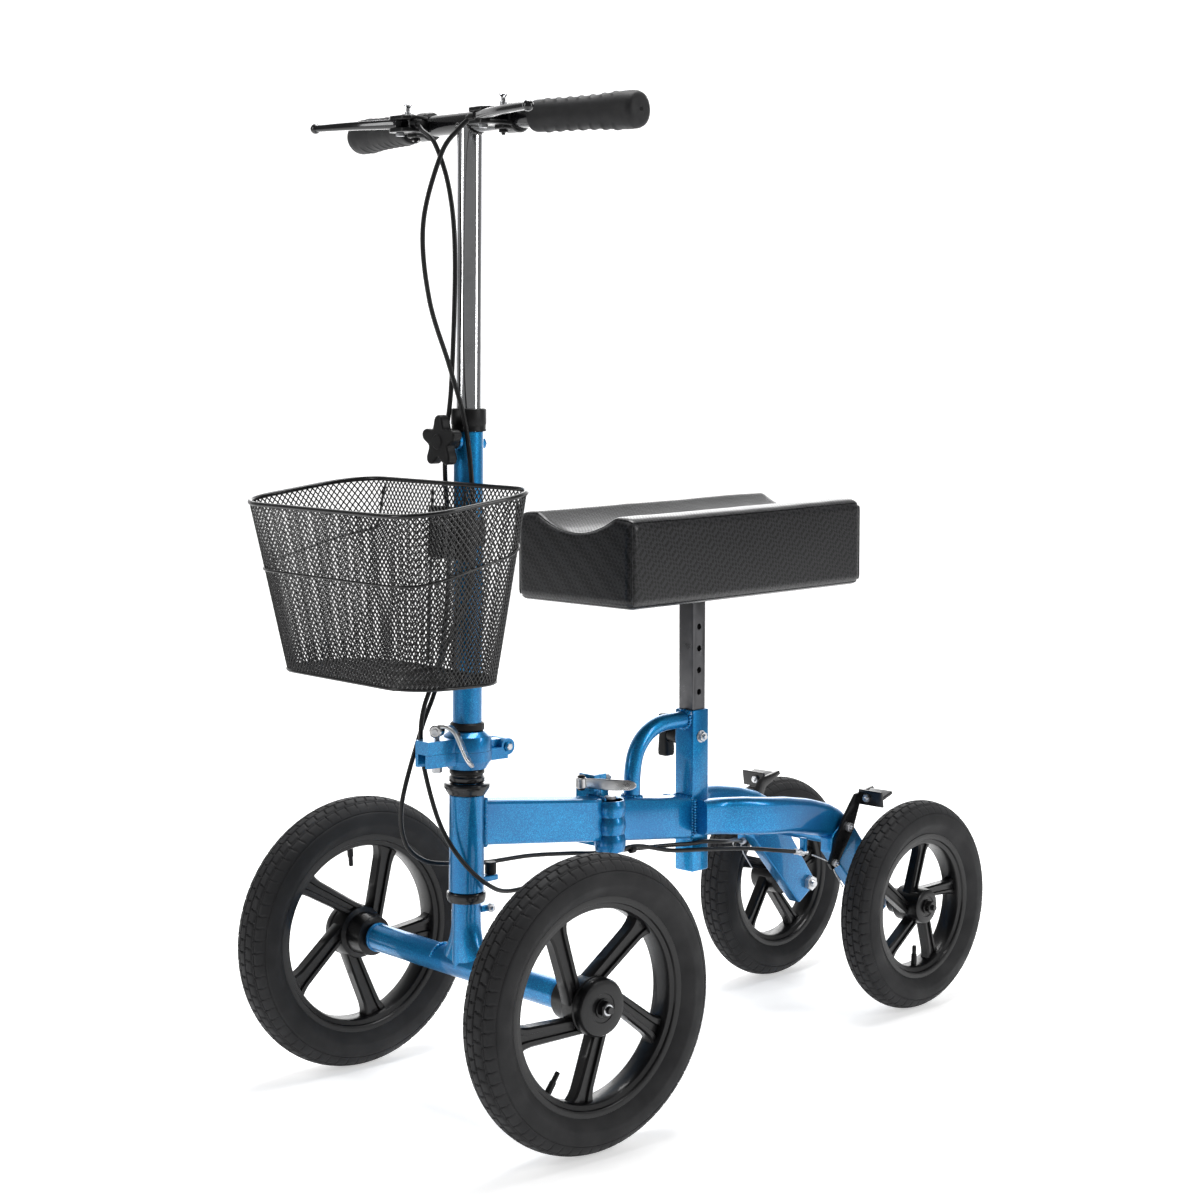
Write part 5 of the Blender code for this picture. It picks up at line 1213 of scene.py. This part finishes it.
def on_loop(loop, t):
    points, lengths = loop
    target = (t % 1.0) * sum(lengths)
    for p, q, length in zip(points, points[1:], lengths):
        if target <= length and length > 0:
            k = target / length
            return (p[0] + (q[0] - p[0]) * k, p[1] + (q[1] - p[1]) * k)
        target -= length
    return points[-1]


BASKET_LOW = loop_of(0.2471, 0.037, 0.1652, 0.046)
BASKET_TOP = loop_of(0.3169, 0.0265, 0.1896, 0.048)
BASKET_Z = (0.4725, 0.655)


def basket_point(t, h):
    a, b = on_loop(BASKET_LOW, t), on_loop(BASKET_TOP, t)
    x, y = a[0] + (b[0] - a[0]) * h, a[1] + (b[1] - a[1]) * h
    tilt = 0.011 * (y + 0.108) / 0.0815 * h
    return Vector((x, y, BASKET_Z[0] + (BASKET_Z[1] - BASKET_Z[0]) * h + tilt))


def basket():
    cells, steps = 134, 22
    bm = bmesh.new()
    travel = (BASKET_Z[1] - BASKET_Z[0]) / 0.95 * 0.92
    for family in (1, -1):
        for k in range(cells):
            start = k / cells
            line = [basket_point(start + family * travel * i / steps, i / steps) for i in range(steps + 1)]
            add_pipe(bm, line, 0.00078, 5)
    mesh = put(show("basket_wall_mesh", bm, WIRE_BLACK, 60), "basket", STEERED)
    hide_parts("basket")
    bm = bmesh.new()
    pitch = 0.0068
    centre = Vector((0, -0.1011, BASKET_Z[0] + 0.0012))
    half_w, half_d, corner = 0.123, 0.064, 0.046

    def inside(p):
        dx = max(0.0, abs(p.x - centre.x) - (half_w - corner))
        dy = max(0.0, abs(p.y - centre.y) - (half_d - corner))
        return hypot(dx, dy) <= corner

    for slope in (1, -1):
        for k in range(-32, 33):
            offset = k * pitch
            inside_points = []
            for i in range(-90, 91):
                p = centre + Vector((i * 0.0022 + offset * 0.5, slope * (i * 0.0022 - offset * 0.5), 0))
                if inside(p):
                    inside_points.append(p)
            if len(inside_points) > 1:
                add_pipe(bm, [inside_points[0], inside_points[-1]], 0.00078, 5)
    put(show("basket_floor_mesh", bm, WIRE_BLACK, 60), "basket", STEERED)
    count = 160
    rim = [basket_point(i / count, 1.0) + Vector((0, 0, 0.001)) for i in range(count)]
    put(pipe("basket_rim_wire", rim, 0.0025, WIRE_BLACK, 14, True), "basket", STEERED)
    floor = [basket_point(i / count, 0.0) + Vector((0, 0, 0.0002)) for i in range(count)]
    put(pipe("basket_floor_wire", floor, 0.0018, WIRE_BLACK, 12, True), "basket", STEERED)
    belt = []
    for i in range(121):
        t = 0.125 + 0.75 * i / 120
        away = abs(t - 0.5)
        slope = 0.13 * min(1.0, max(0.0, away - 0.17) / 0.185)
        climb = 0.25 * min(1.0, max(0.0, away - 0.358) / 0.014)
        h = 0.6 + slope + climb
        p = basket_point(t, h)
        belt.append(p + Vector((p.x, p.y + 0.1, 0)).normalized() * 0.0012)
    put(pipe("basket_belt_wire", belt, 0.0014, WIRE_BLACK, 10), "basket", STEERED)
    for i in range(7):
        x = -0.09 + 0.03 * i
        rib = [(x, -0.0385, BASKET_Z[0] - 0.0008), (x, -0.042, BASKET_Z[0] - 0.0012),
               (x, -0.16, BASKET_Z[0] - 0.0012), (x, -0.164, BASKET_Z[0] - 0.0008)]
        put(pipe(f"basket_floor_rib_{i}", rib, 0.0011, WIRE_BLACK, 8), "basket", STEERED)
    for tag, x in (("left", 0.028), ("right", -0.028)):
        t = x / sum(BASKET_TOP[1])
        hook = [basket_point(t, h) + Vector((0, 0.001, 0)) for h in (0.02, 0.3, 0.6, 0.97)]
        put(pipe(f"basket_back_wire_{tag}", hook, 0.0016, WIRE_BLACK, 8), "basket", STEERED)


def basket_bracket():
    plate = box("basket_bracket_plate", (0.072, 0.0038, 0.055), PLASTIC, 0.001)
    put(plate, "stem", STEERED, (0, -0.0213, BRACKET_Z))
    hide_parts("basket_bracket")
    put(sleeve("basket_bracket_band", 0.0181, 0.0156, -0.014, 0.014, PLASTIC, 56, 0.0012), "stem", STEERED,
        (0, 0, BRACKET_Z))
    put(box("basket_bracket_boss", (0.03, 0.008, 0.026), PLASTIC, 0.001), "stem", STEERED,
        (0, -0.018, BRACKET_Z))
    for label, side in SIDES:
        put(turned(f"basket_bracket_screw_{label}", [(0, 0.0022), (0.002, 0.002), (0.0036, 0.0006),
                                                     (0.0038, 0), (0, 0)], ZINC, 24), "stem", STEERED,
            (side * 0.022, -0.023, 0.624), (pi / 2, 0, 0))
        put(box(f"basket_bracket_rail_{label}", (0.005, 0.006, 0.055), PLASTIC, 0.001), "stem", STEERED,
            (side * 0.0335, -0.0222, BRACKET_Z))
    put(turned("basket_bracket_cap", [(0, 0.002), (0.006, 0.0018), (0.0075, 0), (0.0075, -0.004),
                                      (0, -0.004)], PLASTIC, 32), "stem", STEERED, (0, -0.0245, 0.635),
        (pi / 2, 0, 0))


# ---------------------------------------------------------------- brake cables

LEFT_STEERED = [(0.0428, -0.034, 1.04), (0.036, -0.042, 1.03), (0.024, -0.056, 1.004),
                (0.01, -0.068, 0.933), (0.005, -0.056, 0.857), (0.01, -0.033, 0.788), (0.017, -0.018, 0.73),
                (0.0195, -0.011, 0.67), (0.02, -0.008, 0.615), (0.018, -0.01, 0.562),
                (0.006, -0.0195, 0.522), (-0.008, -0.024, 0.492), (-0.015, -0.033, 0.46),
                (-0.018, -0.044, 0.43), (-0.019, -0.047, 0.4), (-0.015, -0.044, 0.362),
                (-0.002, -0.034, 0.308), (0.019, -0.022, 0.272), (0.027, 0.006, 0.244)]
LEFT_FRAME = [(0.0225, 0.043, 0.229), (0.014, 0.125, 0.23), (0.004, 0.195, 0.234), (0.005, 0.25, 0.2425),
              (0.018, 0.3, 0.232), (0.021, 0.356, 0.225), (0.027, 0.42, 0.217), (0.035, 0.47, 0.208),
              (0.046, 0.5, 0.203)]
RIGHT_STEERED = [(-0.0428, -0.034, 1.04), (-0.036, -0.035, 1.033), (-0.02, -0.03, 1.018),
                 (-0.006, -0.022, 0.97), (0.0, -0.019, 0.899), (-0.004, -0.02, 0.77),
                 (-0.0135, -0.02, 0.715), (-0.019, -0.0165, 0.686), (-0.0215, -0.013, 0.656),
                 (-0.022, -0.0085, 0.615), (-0.0225, -0.009, 0.56), (-0.0235, -0.014, 0.5),
                 (-0.0245, -0.023, 0.45), (-0.0275, -0.04, 0.406), (-0.034, -0.06, 0.33),
                 (-0.042, -0.05, 0.285), (-0.043, -0.025, 0.262), (-0.037, 0.005, 0.255)]
RIGHT_FRAME = [(-0.03, 0.054, 0.25), (-0.02, 0.11, 0.25), (-0.013, 0.165, 0.245), (-0.013, 0.206, 0.239),
               (-0.006, 0.25, 0.237), (0.008, 0.3, 0.236), (0.0176, 0.335, 0.2345), (0.019, 0.36, 0.2335),
               (0.016, 0.4, 0.227), (-0.01, 0.445, 0.218), (-0.035, 0.48, 0.208), (-0.046, 0.5, 0.203)]


def brake_cable(label, steered, framed):
    """One casing in lengths, split where the route passes each joint; the lengths are not attached to any
    moving part.
    """
    route = smooth_route([STEERED @ Vector(p) for p in steered] + [LEVEL @ Vector(p) for p in framed],
                         0.005)
    up = [(p - STEER_FOOT).dot(STEER_UP) for p in route]
    level_y = [p.y - LEVEL.translation.y for p in route]

    def first(test):
        return next(i for i in range(len(route)) if test(i))

    def axis(z):
        return STEERED @ Vector((0, 0, z))

    marks = [0, first(lambda i: up[i] < 0.7), first(lambda i: up[i] < 0.365),
             first(lambda i: level_y[i] > 0.085), len(route) - 1]
    bends = [("handlebar", "stem", axis(1.03), axis(0.76)), ("stem", "fork", axis(0.43), axis(0.375)),
             ("fork", "front_frame", axis(0.35), axis(0.235)),
             ("front_frame", "rear_frame", LEVEL @ Vector((0, 0.165, 0.25)),
              LEVEL @ Vector((0, 0.25, 0.25)))]
    for k, (a, b, start, end) in enumerate(bends):
        stretch = route[marks[k]:marks[k + 1] + 1]
        piece = pipe(f"brake_cable_{label}_{k}", stretch, 0.0025, CABLE_BLACK, 12)
        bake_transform(piece)
        if k == 0:
            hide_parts(f"brake_cable_{label}")
    end, before = route[-1], route[-6]
    direction = (end - before).normalized()
    turn = direction.to_track_quat("Z", "Y").to_matrix()
    put(turned(f"brake_cable_adjuster_{label}", [(0, 0.008), (0.0022, 0.008), (0.0022, 0.003),
                                                 (0.0042, 0.0026), (0.0042, -0.003), (0.0034, -0.0034),
                                                 (0.0034, -0.01), (0, -0.01)], ZINC, 24), "rear_frame",
        WORLD, end + direction * 0.002, turn)
    put(box(f"brake_cable_stop_{label}", (0.01, 0.003, 0.016), BLUE, 0.0008), "rear_frame", LEVEL,
        (dict(SIDES)[label] * 0.049, 0.502, 0.2125))


# ---------------------------------------------------------------- stage, light and camera


def stage_set():
    bm = bmesh.new()
    profile = [(-3.0, 0.0), (2.6, 0.0)] + [(2.6 + 1.2 * sin(a), 1.2 - 1.2 * cos(a))
                                           for a in [radians(9 * i) for i in range(1, 11)]] + [(3.8, 5.0)]
    rings = [[bm.verts.new((x, y, z)) for x in (-6, 6)] for y, z in profile]
    grid_faces(bm, rings, False, False)
    mesh = bpy.data.meshes.new("studio_floor")
    bm.to_mesh(mesh)
    bm.free()
    for polygon in mesh.polygons:
        polygon.use_smooth = True
    floor = bpy.data.objects.new("studio_floor", mesh)
    bpy.context.scene.collection.objects.link(floor)
    floor.rotation_euler = (0, 0, radians(44))
    floor.location = (0, 0, cad_box[0].z - 0.0002)
    material = bpy.data.materials.new("studio_paper")
    material.use_nodes = True
    shader = material.node_tree.nodes["Principled BSDF"]
    shader.inputs["Base Color"].default_value = (0.93, 0.93, 0.93, 1)
    shader.inputs["Roughness"].default_value = 0.85
    shader.inputs["Specular IOR Level"].default_value = 0.2
    shader.inputs["Emission Color"].default_value = (1, 1, 1, 1)
    shader.inputs["Emission Strength"].default_value = 0.5
    mesh.materials.append(material)


def area_light(name, at, target, size, power):
    data = bpy.data.lights.new(name, "AREA")
    data.shape = "RECTANGLE"
    data.size, data.size_y = size
    data.energy = power
    light = bpy.data.objects.new(name, data)
    bpy.context.scene.collection.objects.link(light)
    light.location = at
    light.rotation_euler = (Vector(target) - Vector(at)).to_track_quat("-Z", "Y").to_euler()


def lights():
    world = bpy.data.worlds.new("studio")
    world.use_nodes = True
    world.node_tree.nodes["Background"].inputs["Color"].default_value = (1, 1, 1, 1)
    world.node_tree.nodes["Background"].inputs["Strength"].default_value = 0.17
    bpy.context.scene.world = world
    area_light("overhead_softbox", (-0.2, 0.3, 2.6), (0, 0, 0.3), (1.3, 1.3), 62)
    area_light("rear_softbox", (-1.9, 2.1, 1.2), (0, 0, 0.55), (2.4, 1.4), 28)
    area_light("left_softbox", (2.4, 0.9, 1.5), (0, 0, 0.5), (0.45, 1.8), 24)
    area_light("front_softbox", (-0.9, -2.6, 1.6), (0, 0, 0.5), (0.5, 1.8), 20)
    bpy.context.scene.view_settings.view_transform = "Standard"


def camera():
    data = bpy.data.cameras.new("camera")
    data.lens = 72.44
    data.sensor_width = 36
    data.shift_y = -0.0504
    data.clip_end = 50
    cam = bpy.data.objects.new("camera", data)
    bpy.context.scene.collection.objects.link(cam)
    right = Vector((0.7174, 0.6966, 0)).normalized()
    forward = Vector((-0.694, 0.7148, -0.0862)).normalized()
    up = right.cross(forward).normalized()
    cam.matrix_world = LEVEL @ (Matrix.Translation((1.8608, -1.714, 0.8259))
                                @ Matrix((right, up, -forward)).transposed().to_4x4())
    bpy.context.scene.camera = cam


wheels()
rear_frame()
rear_brakes()
seat()
seat_knob()
frame_joint()
front_frame()
steering_stop()
fork()
column()
stem_knob()
handlebar()
basket()
basket_bracket()
brake_cable("left", LEFT_STEERED, LEFT_FRAME)
brake_cable("right", RIGHT_STEERED, RIGHT_FRAME)
stage_set()
lights()
camera()
